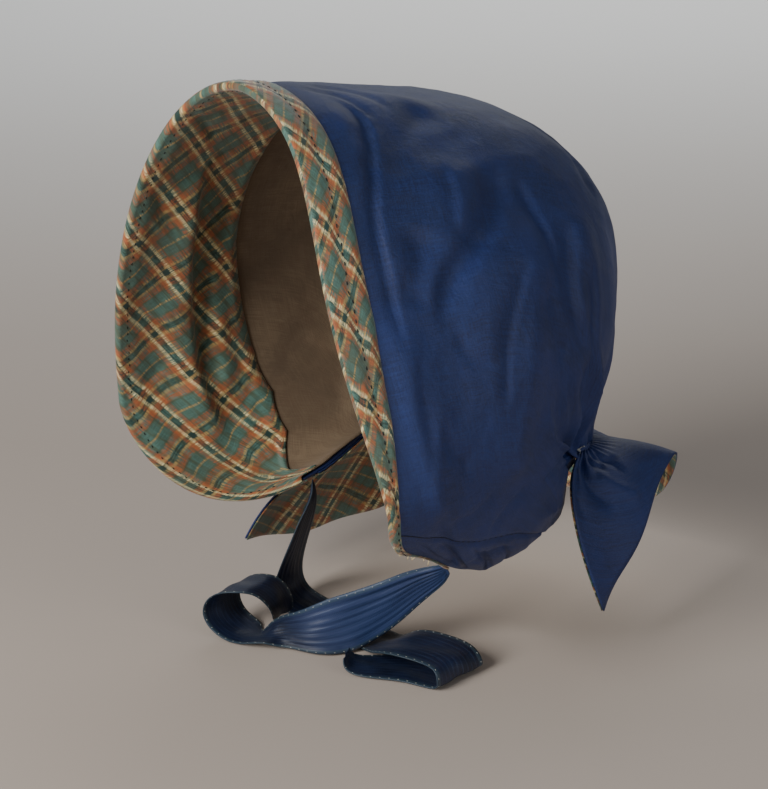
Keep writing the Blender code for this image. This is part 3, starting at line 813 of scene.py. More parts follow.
def strip_relief(u, outside):
    """The turned strip is soft on both sides of the running stitches that hold it down."""
    width = band_width(TURNED_WIDTHS, u)
    bow = np.sin(2 * math.pi * np.clip(outside, 0, 1)) ** 2
    turns = u * CROWN_TO_HEM * RIM_STRETCH / STRIP_PULL_SPACING
    pull = 0.75 + 0.25 * np.cos(2 * math.pi * turns + 9 * outside)
    return STRIP_PUFF * bow * pull * ease(width, 0.004, 0.020)


def brim_facing(u, b):
    """Plaid sheet from its turned edge outside, round the front edge, to its seam inside."""
    row = b * BRIM_ROWS
    outside = np.clip((TURNED_ROWS - row) / TURNED_ROWS, 0, 1)
    inside = np.clip((row - TURNED_ROWS - RIM_ROWS) / FACING_ROWS, 0, 1)
    turn = np.clip((row - TURNED_ROWS) / RIM_ROWS, 0, 1) * math.pi
    radius = SHELL / 2 + GAP + LINING / 2
    depth = outside * band_width(TURNED_WIDTHS, u) + inside * band_width(FACING_DEPTHS, u)
    v = v_at_depth(u, depth)
    lift = radius * np.cos(turn) - SHELL / 2
    lift = lift + strip_relief(u, outside) - facing_relief(u, inside) * (inside > 0)
    # The far edge of the facing is felled down on the crown lining.
    lift = lift - FACING_FELLED * ease(inside, 0.86, 0.94)
    # The turned edge lies down on the silk.
    lift = lift - STRIP_FELLED * ease(outside, 0.88, 1.0)
    edge_pull = hood_form(u, np.zeros_like(v)) - hood_form(u, np.full_like(v, EDGE_STEP))
    forward = edge_pull / np.linalg.norm(edge_pull, axis=-1, keepdims=True)
    return hood_layer(u, v, lift) + (radius * np.sin(turn))[..., None] * forward


def crown_lining(u, b):
    """Plain lining from the facing's seam back to the nape, a little slack."""
    first = v_at_depth(u, band_width(FACING_DEPTHS, u) - OVERLAP)
    v = first + (NAPE_TURNING - first) * b
    swell = np.sin(31 * u + 5 * np.sin(6 * b)) * np.cos(9 * b + 4 * u)
    slack = LINING_SLACK * np.sin(math.pi * b) * (1 + swell)
    return hood_layer(u, v, -(SHELL + GAP) - slack)


def neck_seam(along):
    """The seam that carries the curtain: round the nape from the left, then the right hem."""
    on_nape = along < 0.5
    u = np.where(on_nape, ARCH_SHARE * (1 - 4 * along), -1.0)
    v = np.where(on_nape, 1.0, 1 - (along - 0.5) * 2)
    return hood_form(u, v)


def curtain_form(a, b):
    """The outside of the curtain: a from the right front corner 0 to the left end 1, b down."""
    place = np.clip(a, 0, 1)
    flare = smooth_rows(FLARES, place)
    along = np.interp(place, np.linspace(0, 1, len(FLARES)), [row.along for row in FLARES])
    top = neck_seam(along)
    b = b[..., None]
    return (1 - b) ** 2 * top + 2 * (1 - b) * b * flare[..., 1:4] + b ** 2 * flare[..., 4:7]


# Folds of the curtain, in a and b.
CURTAIN_CREASES = (
    Crease(-0.0034, 0.0020, 0.0070, ((0.965, 0.04), (0.955, 0.30), (0.935, 0.50), (0.905, 0.66))),
    Crease(-0.0018, 0.0016, 0.0040, ((0.945, 0.05), (0.925, 0.22), (0.89, 0.36))),
    Crease(-0.0016, 0.0016, 0.0060, ((0.90, 0.06), (0.87, 0.30), (0.86, 0.60))),
    Crease(0.0020, 0.0050, 0.0050, ((0.93, 0.30), (0.90, 0.55), (0.86, 0.85))),
    Crease(-0.0018, 0.0030, 0.0050, ((0.985, 0.10), (0.985, 0.40), (0.975, 0.62))),
    Crease(-0.0014, 0.0030, 0.0060, ((0.93, 0.02), (0.89, 0.24), (0.84, 0.40))),
    Crease(-0.0016, 0.0040, 0.0080, ((0.70, 0.02), (0.69, 0.50), (0.70, 0.98))),
    Crease(-0.0016, 0.0040, 0.0080, ((0.42, 0.02), (0.40, 0.50), (0.42, 0.98))),
    Crease(-0.0014, 0.0030, 0.0080, ((0.08, 0.02), (0.07, 0.45), (0.05, 0.90))),
)


def curtain(u, b, lift=0.0):
    """The curtain with its ruffles, gathers and folds, moved out by lift or in by a negative one."""
    a = (u + 1) / 2
    height = RUFFLE_HEIGHT * b ** RUFFLE_GROWTH * np.sin(2 * math.pi * RUFFLE_COUNT * a)
    gather = np.sin(2 * math.pi * SEAM_GATHERS * a + 3 * np.sin(17 * a))
    gather = gather * (1 - ease(b, 0.0, 0.42)) * ease(b, 0.0, 0.06)
    height = height + SEAM_GATHER_HEIGHT * gather
    place = on_curtain(a, b)
    for crease in CURTAIN_CREASES:
        height = height + crease_height(crease, place, on_curtain)
    return curtain_form(a, b) + (height + lift)[..., None] * outward(curtain_form, a, b)


def curtain_lining(u, b):
    return curtain(u, b, -(CURTAIN_SILK + GAP))


def ribbon(stations, pleats, pleated_share):
    """A ribbon that follows its stations, pleated where it is gathered to its seam."""
    def form(u, b):
        x, y, z, width, heading, tilt = np.moveaxis(smooth_rows(stations, b), -1, 0)
        heading, tilt = np.radians(heading), np.radians(tilt)
        across = np.stack([np.cos(heading) * np.cos(tilt),
                           np.sin(heading) * np.cos(tilt), np.sin(tilt)], -1)
        return np.stack([x, y, z], -1) + (u * width / 2)[..., None] * across

    def pleated(u, b):
        fade = np.clip(1 - b / pleated_share, 0, 1)
        lean = 2 * np.sin(3 * u) + 1.4 * np.sin(9 * b + 2 * u) + 0.8 * rumple((u + 1) / 2, b, *PLEAT_LEAN)
        depth = PLEAT_HEIGHT * (1 + 0.6 * rumple((u + 1) / 2, b, *PLEAT_DEPTH))
        height = depth * np.sqrt(fade) * ease(b, 0.0, 0.02) * np.cos(math.pi * pleats * u + lean)
        height = height + RIBBON_RIPPLE * (1 - fade) * np.sin(5 * u + 40 * b) * np.cos(math.pi * u / 2)
        return form(u, b) + height[..., None] * outward(form, u, b)

    return pleated


def operator(operation, reflected=False):
    """A method for an operator between two shader values, which adds its Math node."""
    def method(self, other):
        values = (other, self) if reflected else (self, other)
        return self.finish.math(operation, *values)

    return method


class Socket:
    """A shader value in an expression; its operators add the Math nodes they need."""

    def __init__(self, finish, socket):
        self.finish = finish
        self.socket = socket

    __add__ = __radd__ = operator("ADD")
    __mul__ = __rmul__ = operator("MULTIPLY")
    __sub__ = operator("SUBTRACT")
    __rsub__ = operator("SUBTRACT", reflected=True)
    __truediv__ = operator("DIVIDE")
    __pow__ = operator("POWER")


class Finish:
    """A material: constants set on its shader, and nodes added by expressions."""

    def __init__(self, name, constants):
        self.material = bpy.data.materials.new(name)
        self.material.use_nodes = True
        self.tree = self.material.node_tree
        self.shader = self.tree.nodes["Principled BSDF"]
        for socket, value in constants.items():
            self.shader.inputs[socket].default_value = value
        cut = self.node("UVMap", {"uv_map": "Cut"}, {})
        self.x, self.y = self.parts(cut)[:2]
        self.cut = cut

    def node(self, kind, settings, values, output=0):
        """Add one node; values go to its inputs by name or number, as numbers or as links."""
        node = self.tree.nodes.new("ShaderNode" + kind)
        for setting, value in settings.items():
            setattr(node, setting, value)
        for key, value in values.items():
            if isinstance(value, Socket):
                self.tree.links.new(value.socket, node.inputs[key])
            else:
                node.inputs[key].default_value = value
        return Socket(self, node.outputs[output])

    def math(self, operation, *values):
        return self.node("Math", {"operation": operation}, dict(enumerate(values)))

    def parts(self, vector):
        first = self.node("SeparateXYZ", {}, {0: vector})
        outputs = first.socket.node.outputs
        return [Socket(self, outputs[index]) for index in range(3)]

    def place(self):
        """Where a point is on its object, in metres."""
        return self.node("TexCoord", {}, {}, "Object")

    def vector(self, x, y, z=0.0):
        return self.node("CombineXYZ", {}, {0: x, 1: y, 2: z})

    def noise(self, vector, scale, detail=3.0, roughness=0.5, distortion=0.0):
        return self.node("TexNoise", {}, {"Vector": vector, "Scale": scale, "Detail": detail,
                                          "Roughness": roughness, "Distortion": distortion})

    def stretched(self, x, y, detail, roughness=0.5, distortion=0.0):
        """Noise over places that are already scaled, each way by its own number."""
        return self.noise(self.vector(x, y), 1.0, detail, roughness, distortion)

    def wave(self, value):
        """A sine of value in turns, from 0 to 1."""
        return self.math("SINE", value * (2 * math.pi)) * 0.5 + 0.5

    def step(self, value, low, high):
        """A smooth step from 0 at low to 1 at high."""
        return self.node("MapRange", {"interpolation_type": "SMOOTHSTEP"},
                         {"Value": value, "From Min": low, "From Max": high})

    def mix(self, factor, first, second):
        return self.node("Mix", {"data_type": "RGBA"}, {0: factor, 6: first, 7: second}, 2)

    def ramp(self, value, stops):
        node = self.tree.nodes.new("ShaderNodeValToRGB")
        elements = node.color_ramp.elements
        for index, (place, colour) in enumerate(stops):
            element = elements[index] if index < 2 else elements.new(place)
            element.position = place
            element.color = colour
        self.tree.links.new(value.socket, node.inputs[0])
        return Socket(self, node.outputs[0])

    def finished(self, colour, roughness=None, height=None, bump=0.3, distance=0.001):
        """Link what varies over the cloth; height is seen as a bump of that strength and distance."""
        self.tree.links.new(colour.socket, self.shader.inputs["Base Color"])
        if roughness is not None:
            self.tree.links.new(roughness.socket, self.shader.inputs["Roughness"])
        if height is not None:
            normal = self.node("Bump", {}, {"Strength": bump, "Distance": distance, "Height": height})
            self.tree.links.new(normal.socket, self.shader.inputs["Normal"])
        return self.material


def paint(red, green, blue):
    """A colour from its display values, 0 to 255, as the shader's linear ones."""
    values = []
    for value in (red, green, blue):
        share = value / 255
        values.append(share / 12.92 if share <= 0.04045 else ((share + 0.055) / 1.055) ** 2.4)
    return (*values, 1.0)


def threads(finish, pitch):
    """A plain weave's height, and the slubs of its threads both ways."""
    warp = finish.wave(finish.x / pitch)
    weft = finish.wave(finish.y / pitch)
    weave = warp * weft + (1 - warp) * (1 - weft)
    across = finish.stretched(finish.x * 1500, finish.y * 60, 2.0)
    along = finish.stretched(finish.x * 60, finish.y * 1500, 2.0)
    return weave, across, along


def blue_silk(name, grey_crown):
    """Uneven dark blue silk; the shell's silk is greyer in patches over the top of the crown."""
    finish = Finish(name, {"Specular IOR Level": 0.38, "Sheen Weight": 0.04, "Sheen Roughness": 0.4,
                           "Sheen Tint": (0.45, 0.58, 1.0, 1.0)})
    weave, across, along = threads(finish, 0.00042)
    place = finish.place()
    broad = finish.noise(place, 14.0, 4.0, 0.6, 0.4)
    patch = finish.noise(place, 38.0, 3.0, 0.6, 0.8)
    colour = finish.mix(finish.step(broad, 0.35, 0.68), paint(21, 31, 66), paint(28, 43, 92))
    colour = finish.mix(finish.step(patch, 0.5, 0.8) * 0.35, colour, paint(22, 29, 58))
    slubs = (across + along) * 0.5
    colour = finish.mix(finish.step(slubs, 0.36, 0.66) * 0.5, colour, paint(38, 58, 118))
    if grey_crown:
        # Greyer in patches towards the top of the crown, by height.
        height = finish.parts(place)[2]
        crown_grey_mask = finish.step(height + broad * 0.06, -0.05, 0.03) * finish.step(patch, 0.25, 0.7) * 0.40
        colour = finish.mix(crown_grey_mask, colour, paint(36, 42, 58))
    crumple = finish.stretched(finish.x * 70, finish.y * 45, 5.0, 0.62, 1.4)
    crinkle = finish.stretched(finish.x * 260, finish.y * 210, 3.0, 0.6, 0.8)
    grain = finish.noise(place, 900.0, 2.0)
    colour = finish.mix(finish.step(grain, 0.35, 0.72) * 0.30, colour, paint(44, 62, 112))
    relief = crumple * 0.8 + crinkle * 0.30 + weave * 0.06 + slubs * 0.10 + grain * 0.05
    roughness = 0.40 + broad * 0.12 + slubs * 0.16
    return finish.finished(colour, roughness, relief, 0.5, 0.0014)


DARK_GREEN = paint(24, 62, 58)
TEAL = paint(84, 122, 112)
GREY_GREEN = paint(84, 98, 76)
RUST = paint(186, 104, 62)
SAND = paint(204, 168, 104)
CREAM = paint(255, 240, 184)
# The plaid's stripes over one repeat; the weft's are fewer and softer than the warp's.
WARP_SETT = (
    (0.000, DARK_GREEN), (0.055, DARK_GREEN), (0.075, CREAM), (0.120, CREAM), (0.140, SAND),
    (0.165, RUST), (0.215, RUST), (0.250, GREY_GREEN), (0.300, GREY_GREEN), (0.350, TEAL),
    (0.440, TEAL), (0.480, GREY_GREEN), (0.520, GREY_GREEN), (0.560, TEAL), (0.650, TEAL),
    (0.700, GREY_GREEN), (0.750, GREY_GREEN), (0.785, RUST), (0.835, RUST), (0.860, SAND),
    (0.880, CREAM), (0.925, CREAM), (0.945, DARK_GREEN), (1.000, DARK_GREEN),
)
WEFT_SETT = (
    (0.000, DARK_GREEN), (0.050, DARK_GREEN), (0.075, SAND), (0.110, SAND), (0.140, RUST),
    (0.250, RUST), (0.290, GREY_GREEN), (0.330, TEAL), (0.480, TEAL), (0.500, SAND),
    (0.520, SAND), (0.540, TEAL), (0.690, TEAL), (0.720, GREY_GREEN), (0.760, RUST),
    (0.860, RUST), (0.890, SAND), (0.925, SAND), (0.950, DARK_GREEN), (1.000, DARK_GREEN),
)


def plaid_silk(name):
    """Plaid laid at an angle to the cut's edges."""
    finish = Finish(name, {"Specular IOR Level": 0.35, "Sheen Weight": 0.25, "Sheen Roughness": 0.5})
    warp_place = finish.x * math.cos(PLAID_TURN) + finish.y * math.sin(PLAID_TURN)
    weft_place = finish.y * math.cos(PLAID_TURN) - finish.x * math.sin(PLAID_TURN)
    wobble = finish.noise(finish.cut, 18.0, 1.0) * 0.05
    along_warp = finish.stretched(warp_place * 1100, weft_place * 90, 3.0, 0.6)
    along_weft = finish.stretched(warp_place * 90, weft_place * 1100, 3.0, 0.6)
    # Threads that lie a little out of line give the stripes their watery edges.
    warp_share = warp_place / PLAID_REPEAT + wobble + along_weft * 0.05
    weft_share = weft_place / PLAID_REPEAT + wobble + along_warp * 0.05 + 0.35
    warp = finish.ramp(finish.math("FRACT", warp_share), WARP_SETT)
    weft = finish.ramp(finish.math("FRACT", weft_share), WEFT_SETT)
    over = finish.step(along_warp - along_weft, -0.25, 0.25)
    colour = finish.mix(over, warp, weft)
    streak = finish.step(along_warp + along_weft, 0.75, 1.25)
    colour = finish.mix(0.50 - streak * 0.45, colour, paint(40, 46, 36))
    soiled = finish.noise(finish.place(), 26.0, 3.0)
    colour = finish.mix(finish.step(soiled, 0.45, 0.75) * 0.3, colour, paint(92, 74, 44))
    weave = finish.wave(warp_place / THREAD_PITCH) * finish.wave(weft_place / THREAD_PITCH)
    crumple = finish.stretched(finish.x * 110, finish.y * 80, 4.0, 0.6, 1.0)
    relief = crumple * 0.6 + weave * 0.08 + streak * 0.06
    roughness = 0.52 + streak * 0.15
    return finish.finished(colour, roughness, relief, 0.4, 0.0010)


def brown_lining(name):
    """Matt brown plain weave, a little faded in patches."""
    finish = Finish(name, {"Specular IOR Level": 0.2, "Sheen Weight": 0.15, "Sheen Roughness": 0.6})
    weave, across, along = threads(finish, 0.0006)
    patch = finish.noise(finish.place(), 22.0, 4.0, 0.6, 0.5)
    colour = finish.mix(finish.step(patch, 0.3, 0.7), paint(92, 76, 58), paint(122, 104, 82))
    colour = finish.mix(finish.step(across + along, 0.8, 1.2) * 0.4, colour, paint(84, 62, 46))
    crumple = finish.stretched(finish.x * 90, finish.y * 60, 4.0, 0.6, 1.0)
    relief = crumple * 0.8 + weave * 0.12 + across * 0.1
    return finish.finished(colour, 0.8 + weave * 0.1, relief, 0.5, 0.0012)


def navy_ribbon(name, painted_lit_length):
    """Ribbed silk ribbon with paler selvages; its start, over so many metres, is painted paler as painted
    light where the ribbon lies lit.
    """
    finish = Finish(name, {"Specular IOR Level": 0.42, "Sheen Weight": 0.03, "Sheen Roughness": 0.35,
                           "Sheen Tint": (0.5, 0.65, 1.0, 1.0)})
    ribs = finish.wave(finish.y / 0.0011)
    across = finish.math("ABSOLUTE", finish.x)
    slubs = finish.stretched(finish.x * 1700, finish.y * 90, 3.0, 0.6)
    patch = finish.noise(finish.place(), 30.0, 3.0, 0.6, 0.5)
    colour = finish.mix(finish.step(patch, 0.3, 0.7), paint(10, 15, 32), paint(15, 24, 50))
    # Painted highlight: the ribbon's first stretch is painted paler, as if lit, and the rest keeps its dark
    # navy.
    if painted_lit_length:
        painted_lit_part = 1 - finish.step(finish.y, painted_lit_length - 0.03, painted_lit_length + 0.015)
        colour = finish.mix(painted_lit_part, colour, paint(38, 53, 90))
    colour = finish.mix(finish.step(slubs, 0.42, 0.72) * 0.28, colour, paint(44, 64, 104))
    selvage = finish.step(across, RIBBON_WIDTH / 2 - 0.0036, RIBBON_WIDTH / 2 - 0.0030)
    colour = finish.mix(selvage * 0.45, colour, paint(58, 78, 88))
    lines = finish.wave(finish.x / 0.0042) ** 10
    colour = finish.mix(lines * 0.10 * (1 - selvage), colour, paint(88, 112, 150))
    roughness = 0.36 + slubs * 0.18
    relief = ribs * 0.09 + slubs * 0.35 + lines * 0.1
    return finish.finished(colour, roughness, relief, 0.5, 0.0010)


def thread_finish(name, colour):
    """Sewing thread of one colour, with darker grains."""
    finish = Finish(name, {"Specular IOR Level": 0.3})
    grain = finish.noise(finish.place(), 1400.0, 2.0)
    dark = tuple(0.55 * value for value in colour[:3]) + (1.0,)
    return finish.finished(finish.mix(grain, dark, colour), None, grain, 0.4, 0.0003)


SILK = blue_silk("blue_silk_grey_crown", grey_crown=True)
CURTAIN_BLUE = blue_silk("curtain_blue_silk", grey_crown=False)
PLAID = plaid_silk("bias_plaid_silk")
BROWN = brown_lining("brown_lining_cloth")
# The left tie's first 0.115 m is painted paler: painted light on its lit broad part.
NAVY_LEFT = navy_ribbon("navy_ribbon_painted_lit_start", 0.115)
NAVY_RIGHT = navy_ribbon("ribbed_navy_ribbon", 0)
BLACK_THREAD = thread_finish("black_thread", paint(14, 16, 22))
CREAM_THREAD = thread_finish("cream_thread", paint(214, 196, 158))
PALE_THREAD = thread_finish("pale_thread", paint(206, 206, 196))


def cut_lengths(places, middle_column, first_row):
    """Lay a bent grid out flat: metres across from its middle column, and down from one row."""
    across = lengths_along(places, 1)
    down = lengths_along(places)
    return across - across[:, middle_column][:, None], down - down[first_row][None, :]


def bent_grid(cloth, columns, rows, form, first_row=0, bias=False, flip=False, across_width=None):
    """Add a grid bent to form(u, b) to a mesh, with its flat cut as its UV map.

    With bias, the rows before first_row are a bias strip, and the rest is measured round the hood
    and straight back. The result is the cut's width, length and area."""
    layer = cloth.loops.layers.uv.verify()
    new = bmesh.ops.create_grid(cloth, x_segments=columns, y_segments=rows, size=1.0)["verts"]
    flat = np.array([vertex.co for vertex in new])
    i, j = grid_indices(flat, columns, rows)
    u, b = flat[:, 0], (flat[:, 1] + 1) / 2
    bent = form(u, b)
    places = np.zeros((rows + 1, columns + 1, 3))
    places[j, i] = bent
    across, down = cut_lengths(places, columns // 2, first_row)
    if across_width is not None:
        across = np.broadcast_to(np.linspace(-0.5, 0.5, columns + 1) * across_width, down.shape)
    flat_cut = np.stack([across, down], -1)
    strip_cut = flat_cut * (BIAS_LONG, BIAS_NARROW)
    if bias:
        hoop = cut_lengths(places * (1, 0, 1), columns // 2, first_row)[0]
        flat_cut = np.stack([hoop, places[..., 1]], -1)
    cut = {}
    for vertex, place, inside, outside, row in zip(new, bent, flat_cut[j, i], strip_cut[j, i], j):
        vertex.co = place
        cut[vertex] = (inside, outside, row)
    faces = {face for vertex in new for face in vertex.link_faces}
    for face in faces:
        turned = int(bias and min(cut[vertex][2] for vertex in face.verts) < first_row)
        for loop in face.loops:
            loop[layer].uv = cut[loop.vert][turned]
    if flip:
        bmesh.ops.reverse_faces(cloth, faces=list(faces))
    corner = places[:-1, :-1]
    cells = np.linalg.norm(np.cross(places[1:, :-1] - corner, places[:-1, 1:] - corner), axis=-1)
    width = float((across[:, -1] - across[:, 0]).mean())
    length = float((down[-1] - down[0]).mean())
    return width, length, float(cells.sum())


def piece_of(cloth, name, material):
    """Turn a finished mesh into a piece that rides on the hood's one body."""
    mesh = bpy.data.meshes.new(name)
    cloth.to_mesh(mesh)
    cloth.free()
    mesh.shade_smooth()
    mesh.materials.append(material)
    if mesh.uv_layers:
        mesh.uv_layers[0].name = "Cut"
    piece = placed(name, mesh)
    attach(piece, "root")
    return piece


def cloth_sheet(name, form, columns, rows, thickness, material, slot, offset=-1.0, **cut):
    """A bent grid with its thickness. The result is the piece and its flat width, length and area."""
    cloth = bmesh.new()
    width, length, area = bent_grid(cloth, columns, rows, form, **cut)
    piece = piece_of(cloth, name, material)
    wall = piece.modifiers.new("thickness", "SOLIDIFY")
    wall.thickness = thickness
    wall.offset = offset
    return piece, width, length, area


def make_shell():
    """The padded silk shell: its outside and its backing, joined at their edges."""
    body = bmesh.new()
    bent_grid(body, SILK_COLUMNS, SILK_ROWS, silk_outside)
    bent_grid(body, SILK_COLUMNS, SILK_ROWS, silk_inside, flip=True)
    bmesh.ops.remove_doubles(body, verts=body.verts, dist=0.00001)
    shell = piece_of(body, "padded_silk_shell", SILK)
    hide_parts("outer_shell")
    return shell


def make_linings():
    """The plaid facing and the brown lining behind it."""
    facing, width, length, area = cloth_sheet(
        "plaid_brim_facing", brim_facing, FACING_COLUMNS, BRIM_ROWS, FACING_THICKNESS, PLAID, "plaid_silk",
        offset=0.0, first_row=STRIP_ROWS, bias=True)
    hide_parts("brim_facing")
    lining, width, length, area = cloth_sheet(
        "brown_crown_lining", crown_lining, LINING_COLUMNS, LINING_ROWS, LINING, BROWN, "brown_lining")
    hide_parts("crown_lining")


def make_curtain():
    """The neck curtain and its plaid lining."""
    outer, width, length, area = cloth_sheet(
        "neck_curtain_silk", curtain, CURTAIN_COLUMNS, CURTAIN_ROWS, CURTAIN_THICKNESS, CURTAIN_BLUE,
        "blue_silk")
    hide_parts("curtain")
    inner, width, length, area = cloth_sheet(
        "neck_curtain_plaid", curtain_lining, CURTAIN_COLUMNS, CURTAIN_ROWS, FACING_THICKNESS, PLAID,
        "plaid_silk")
    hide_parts("curtain_lining")


class Tie(NamedTuple):
    """A ribbon tie: the node it replaces, its pleats and how far they reach, and its first edge stitch."""
    name: str
    node: str
    stations: list
    pleats: int
    pleated_share: float
    stitched_from: float
    finish: bpy.types.Material


TIES = (
    Tie("ribbon_tie_left", "tie_left", TIE_LEFT, 7, 0.45, 0.10, NAVY_LEFT),
    Tie("ribbon_tie_right", "tie_right", TIE_RIGHT, 6, 0.35, 0.30, NAVY_RIGHT),
)


def make_ties():
    for tie in TIES:
        form = ribbon(tie.stations, tie.pleats, tie.pleated_share)
        piece, width, length, area = cloth_sheet(
            tie.name, form, RIBBON_COLUMNS, RIBBON_ROWS, RIBBON_THICKNESS, tie.finish, "navy_ribbon",
            offset=0.0, across_width=RIBBON_WIDTH)
        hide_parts(tie.node)


def stitches(name, places, directions, normals, length, radius, material):
    """Many short threads, each a small spindle laid along a direction on a surface."""
    body = bmesh.new()
    body.loops.layers.uv.verify()
    for place, direction, normal in zip(places, directions, normals):
        along = Vector(direction).normalized()
        up = Vector(normal).normalized()
        side = up.cross(along).normalized()
        turn = Matrix((along, side, along.cross(side))).transposed().to_4x4()
        size = Matrix.Diagonal((length / 2, radius, radius, 1.0))
        bmesh.ops.create_uvsphere(body, u_segments=8, v_segments=6, radius=1.0,
                                  matrix=Matrix.Translation(Vector(place)) @ turn @ size)
    return piece_of(body, name, material)


def surface_line(form, u, b, lift):
    """Places, directions and normals along a line of u and b on a form."""
    normal = outward(form, u, b)
    places = form(u, b) + lift * normal
    directions = np.gradient(places, axis=0)
    return places, directions, normal


def even_places(form, u, b, spacing):
    """The same line read at even distances."""
    length = lengths_along(form(u, b))
    stops = np.arange(spacing / 2, length[-1], spacing)
    return np.interp(stops, length, u), np.interp(stops, length, b)


class Running(NamedTuple):
    """Running stitches on the facing: how far round they reach, their grid row, and their sizes."""
    name: str
    reach: float
    row: float
    spacing: float
    scatter: float
    length: float
    radius: float


# Along the middle of the turned strip, and just inside the front edge.
RUNNING_STITCHES = (
    Running("strip_running_stitches", 0.80, TURNED_ROWS * 0.5, 0.0052, 0.0035, 0.0024, 0.00042),
    Running("rim_running_stitches", 0.97, TURNED_ROWS + RIM_ROWS + 1.7, 0.0047, 0.0028, 0.0019, 0.00036),
)


def make_stitching():
    """The running stitches of the facing, and the pale stitches along the ribbons' edges."""
    jitter = np.random.default_rng(STITCH_SEED)
    for run in RUNNING_STITCHES:
        u = np.linspace(-run.reach, run.reach, LINE_STEPS)
        u, b = even_places(brim_facing, u, np.full_like(u, run.row / BRIM_ROWS), run.spacing)
        b = b + jitter.normal(0, run.scatter, len(b))
        places, directions, normals = surface_line(brim_facing, u, b, -FACING_THICKNESS / 2)
        stitches(run.name, places, directions, normals, run.length, run.radius, BLACK_THREAD)
    spots = []
    for tie in TIES:
        form = ribbon(tie.stations, tie.pleats, tie.pleated_share)
        for edge in (-RIBBON_STITCH_EDGE, RIBBON_STITCH_EDGE):
            b = np.linspace(tie.stitched_from, 0.99, 500)
            u, b = even_places(form, np.full_like(b, edge), b, RIBBON_STITCH_SPACING)
            for lift in (RIBBON_THICKNESS / 2, -RIBBON_THICKNESS / 2):
                spots.append(surface_line(form, u, b, lift))
    places, directions, normals = (np.concatenate(parts) for parts in zip(*spots))
    stitches("ribbon_edge_stitches", places, directions, normals, 0.0009, 0.00020, PALE_THREAD)


def tube(name, lines, radius, material):
    """Thin threads, each a short bevelled path, joined into one mesh."""
    curve = bpy.data.curves.new(name, "CURVE")
    curve.dimensions = "3D"
    curve.bevel_depth = radius
    curve.bevel_resolution = 1
    curve.use_fill_caps = True
    for line in lines:
        spline = curve.splines.new("POLY")
        spline.points.add(len(line) - 1)
        for point, place in zip(spline.points, line):
            point.co = (*place, 1.0)
    holder = placed(name + "_path", curve)
    bpy.context.view_layer.update()
    mesh = bpy.data.meshes.new_from_object(holder.evaluated_get(bpy.context.evaluated_depsgraph_get()))
    body = bmesh.new()
    body.from_mesh(mesh)
    bmesh.ops.remove_doubles(body, verts=body.verts, dist=0.000002)
    bpy.data.objects.remove(holder)
    bpy.data.meshes.remove(mesh)
    return piece_of(body, name, material)


def make_tuck():
    """A dark running seam along the stitched tuck above the hem, on both sides."""
    points = smooth_rows(HEM_SEAM, np.linspace(0.02, 0.98, 220))
    lines = []
    for side in (1, -1):
        u, v = points[:, 0] * side, np.maximum(points[:, 1], 0.004)
        lines.append(surface_line(silk_outside, u, v, 0.0001)[0])
    tube("hem_tuck_seam", lines, TUCK_RADIUS, BLACK_THREAD)


def make_nape_casing():
    """The gathered casing of the drawstring, which closes the nape seam."""
    along = np.linspace(0.003, 0.497, 260)
    places = neck_seam(along)
    places = places + np.array([0, 0, -0.0006]) + 0.0003 * np.sin(along * 900)[:, None]
    tube("nape_drawstring_casing", [places], CASING_RADIUS, CURTAIN_BLUE)


def make_threads():
    """The frayed, threadbare edge of the left chin corner, and the loose ends of the drawstring."""
    wander = np.random.default_rng(THREAD_SEED)
    # A cream edge with a few frayed ends.
    u = np.linspace(0.70, 0.992, 120)
    b = np.full_like(u, (TURNED_ROWS + 2.5) / BRIM_ROWS)
    places, _, normals = surface_line(brim_facing, u, b, -FACING_THICKNESS / 2)
    places = places + normals * wander.normal(0, 0.0001, len(u))[:, None]
    lines = [places]
    for index in range(30, 116, 8):
        away = normals[index] * -0.6 + np.array([0.0, -0.35, -0.6]) + wander.normal(0, 0.35, 3)
        reach = np.linspace(0, 1, 5)[:, None] * wander.uniform(0.0007, 0.0020)
        curl = np.linspace(0, 1, 5)[:, None] ** 2 * wander.normal(0, 0.0008, 3)
        lines.append(places[index] + away * reach + curl)
    tube("frayed_chin_edge", lines, LOOSE_THREAD_RADIUS, CREAM_THREAD)
    # The drawstring comes out at the left end of the nape.
    knot = hood_form(np.array([0.64]), np.array([0.985]))[0] + np.array([0.0018, 0.0008, 0.0005])
    lines = []
    for _ in range(5):
        way = wander.normal(0, 1, 3) * np.array([0.3, 0.5, 1.0]) + np.array([0.4, -0.3, -0.2])
        reach = np.linspace(-0.35, 1, 8)[:, None] * 0.0045
        curl = np.sin(np.linspace(0, 3, 8))[:, None] * wander.normal(0, 0.0011, 3)
        lines.append(knot + way * reach + curl)
    tube("drawstring_ends", lines, LOOSE_THREAD_RADIUS, PALE_THREAD)


def make_stage():
    """A wide pale floor, paler far behind the hood."""
    ground = bmesh.new()
    bmesh.ops.create_grid(ground, x_segments=4, y_segments=4, size=FLOOR_HALF,
                          matrix=Matrix.Translation((0, 0, FLOOR)))
    mesh = bpy.data.meshes.new("studio_floor")
    ground.to_mesh(mesh)
    ground.free()
    finish = Finish("pale_floor", {"Roughness": 0.9, "Specular IOR Level": 0.1})
    place = finish.place()
    grain = finish.noise(place, 3.0, 3.0)
    floor_colour = finish.mix(grain, paint(182, 170, 160), paint(190, 178, 168))
    x, y, _ = finish.parts(place)
    behind = y * math.cos(CAMERA_TURN) - x * math.sin(CAMERA_TURN)
    far = finish.step(behind, 0.20, 1.7)
    mesh.materials.append(finish.finished(finish.mix(far, floor_colour, paint(224, 223, 221))))
    floor = placed("studio_floor", mesh)


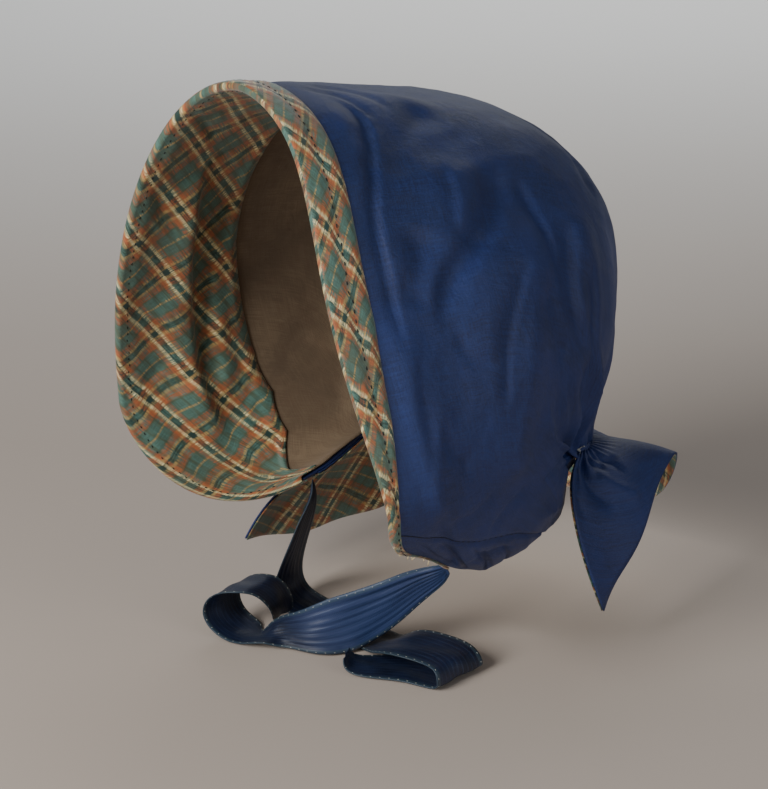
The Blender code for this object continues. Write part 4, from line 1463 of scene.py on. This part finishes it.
class Lamp(NamedTuple):
    """A soft box: its place to the right, above and nearer than the hood, and what it points at."""
    name: str
    right: float
    up: float
    near: float
    aim_up: float
    aim_near: float
    size: float
    power: float
    colour: tuple


LAMPS = (
    Lamp("key_softbox", -1.25, 0.86, 1.35, 0.0, 0.0, 0.9, 48.0, (1.0, 0.99, 0.96)),
    Lamp("fill_softbox", 1.5, 0.35, 1.5, 0.0, 0.0, 1.3, 13.0, (0.95, 0.97, 1.0)),
    Lamp("back_softbox", 0.3, 1.1, -2.3, -0.3, -2.4, 1.8, 27.0, (0.97, 0.99, 1.0)),
)


def make_lights():
    right = Vector((math.cos(CAMERA_TURN), math.sin(CAMERA_TURN), 0))
    near = Vector((math.sin(CAMERA_TURN), -math.cos(CAMERA_TURN), 0))
    for lamp in LAMPS:
        light = bpy.data.lights.new(lamp.name, "AREA")
        light.shape = "SQUARE"
        light.size = lamp.size
        light.energy = lamp.power
        light.color = lamp.colour
        holder = placed(lamp.name, light)
        holder.location = TARGET + right * lamp.right + Vector((0, 0, lamp.up)) + near * lamp.near
        aim = TARGET + Vector((0, 0, lamp.aim_up)) + near * lamp.aim_near
        holder.rotation_euler = (holder.location - aim).to_track_quat("Z", "Y").to_euler()
    world = bpy.data.worlds.new("studio_air")
    world.use_nodes = True
    air = world.node_tree.nodes["Background"]
    air.inputs["Color"].default_value = AIR_COLOUR
    air.inputs["Strength"].default_value = AIR_STRENGTH
    bpy.context.scene.world = world


def make_camera():
    view = Vector((math.sin(CAMERA_TURN) * math.cos(CAMERA_RISE),
                   -math.cos(CAMERA_TURN) * math.cos(CAMERA_RISE), math.sin(CAMERA_RISE)))
    data = bpy.data.cameras.new("camera")
    data.sensor_width = SENSOR
    data.lens = SENSOR * FOCAL_SHARE
    camera = placed("camera", data)
    camera.location = TARGET + view * CAMERA_DISTANCE
    camera.rotation_euler = view.to_track_quat("Z", "Y").to_euler()
    bpy.context.scene.camera = camera


make_camera()
silk_shell = make_shell()
make_linings()
make_curtain()
make_ties()
make_stitching()
make_tuck()
make_nape_casing()
make_threads()
make_stage()
make_lights()
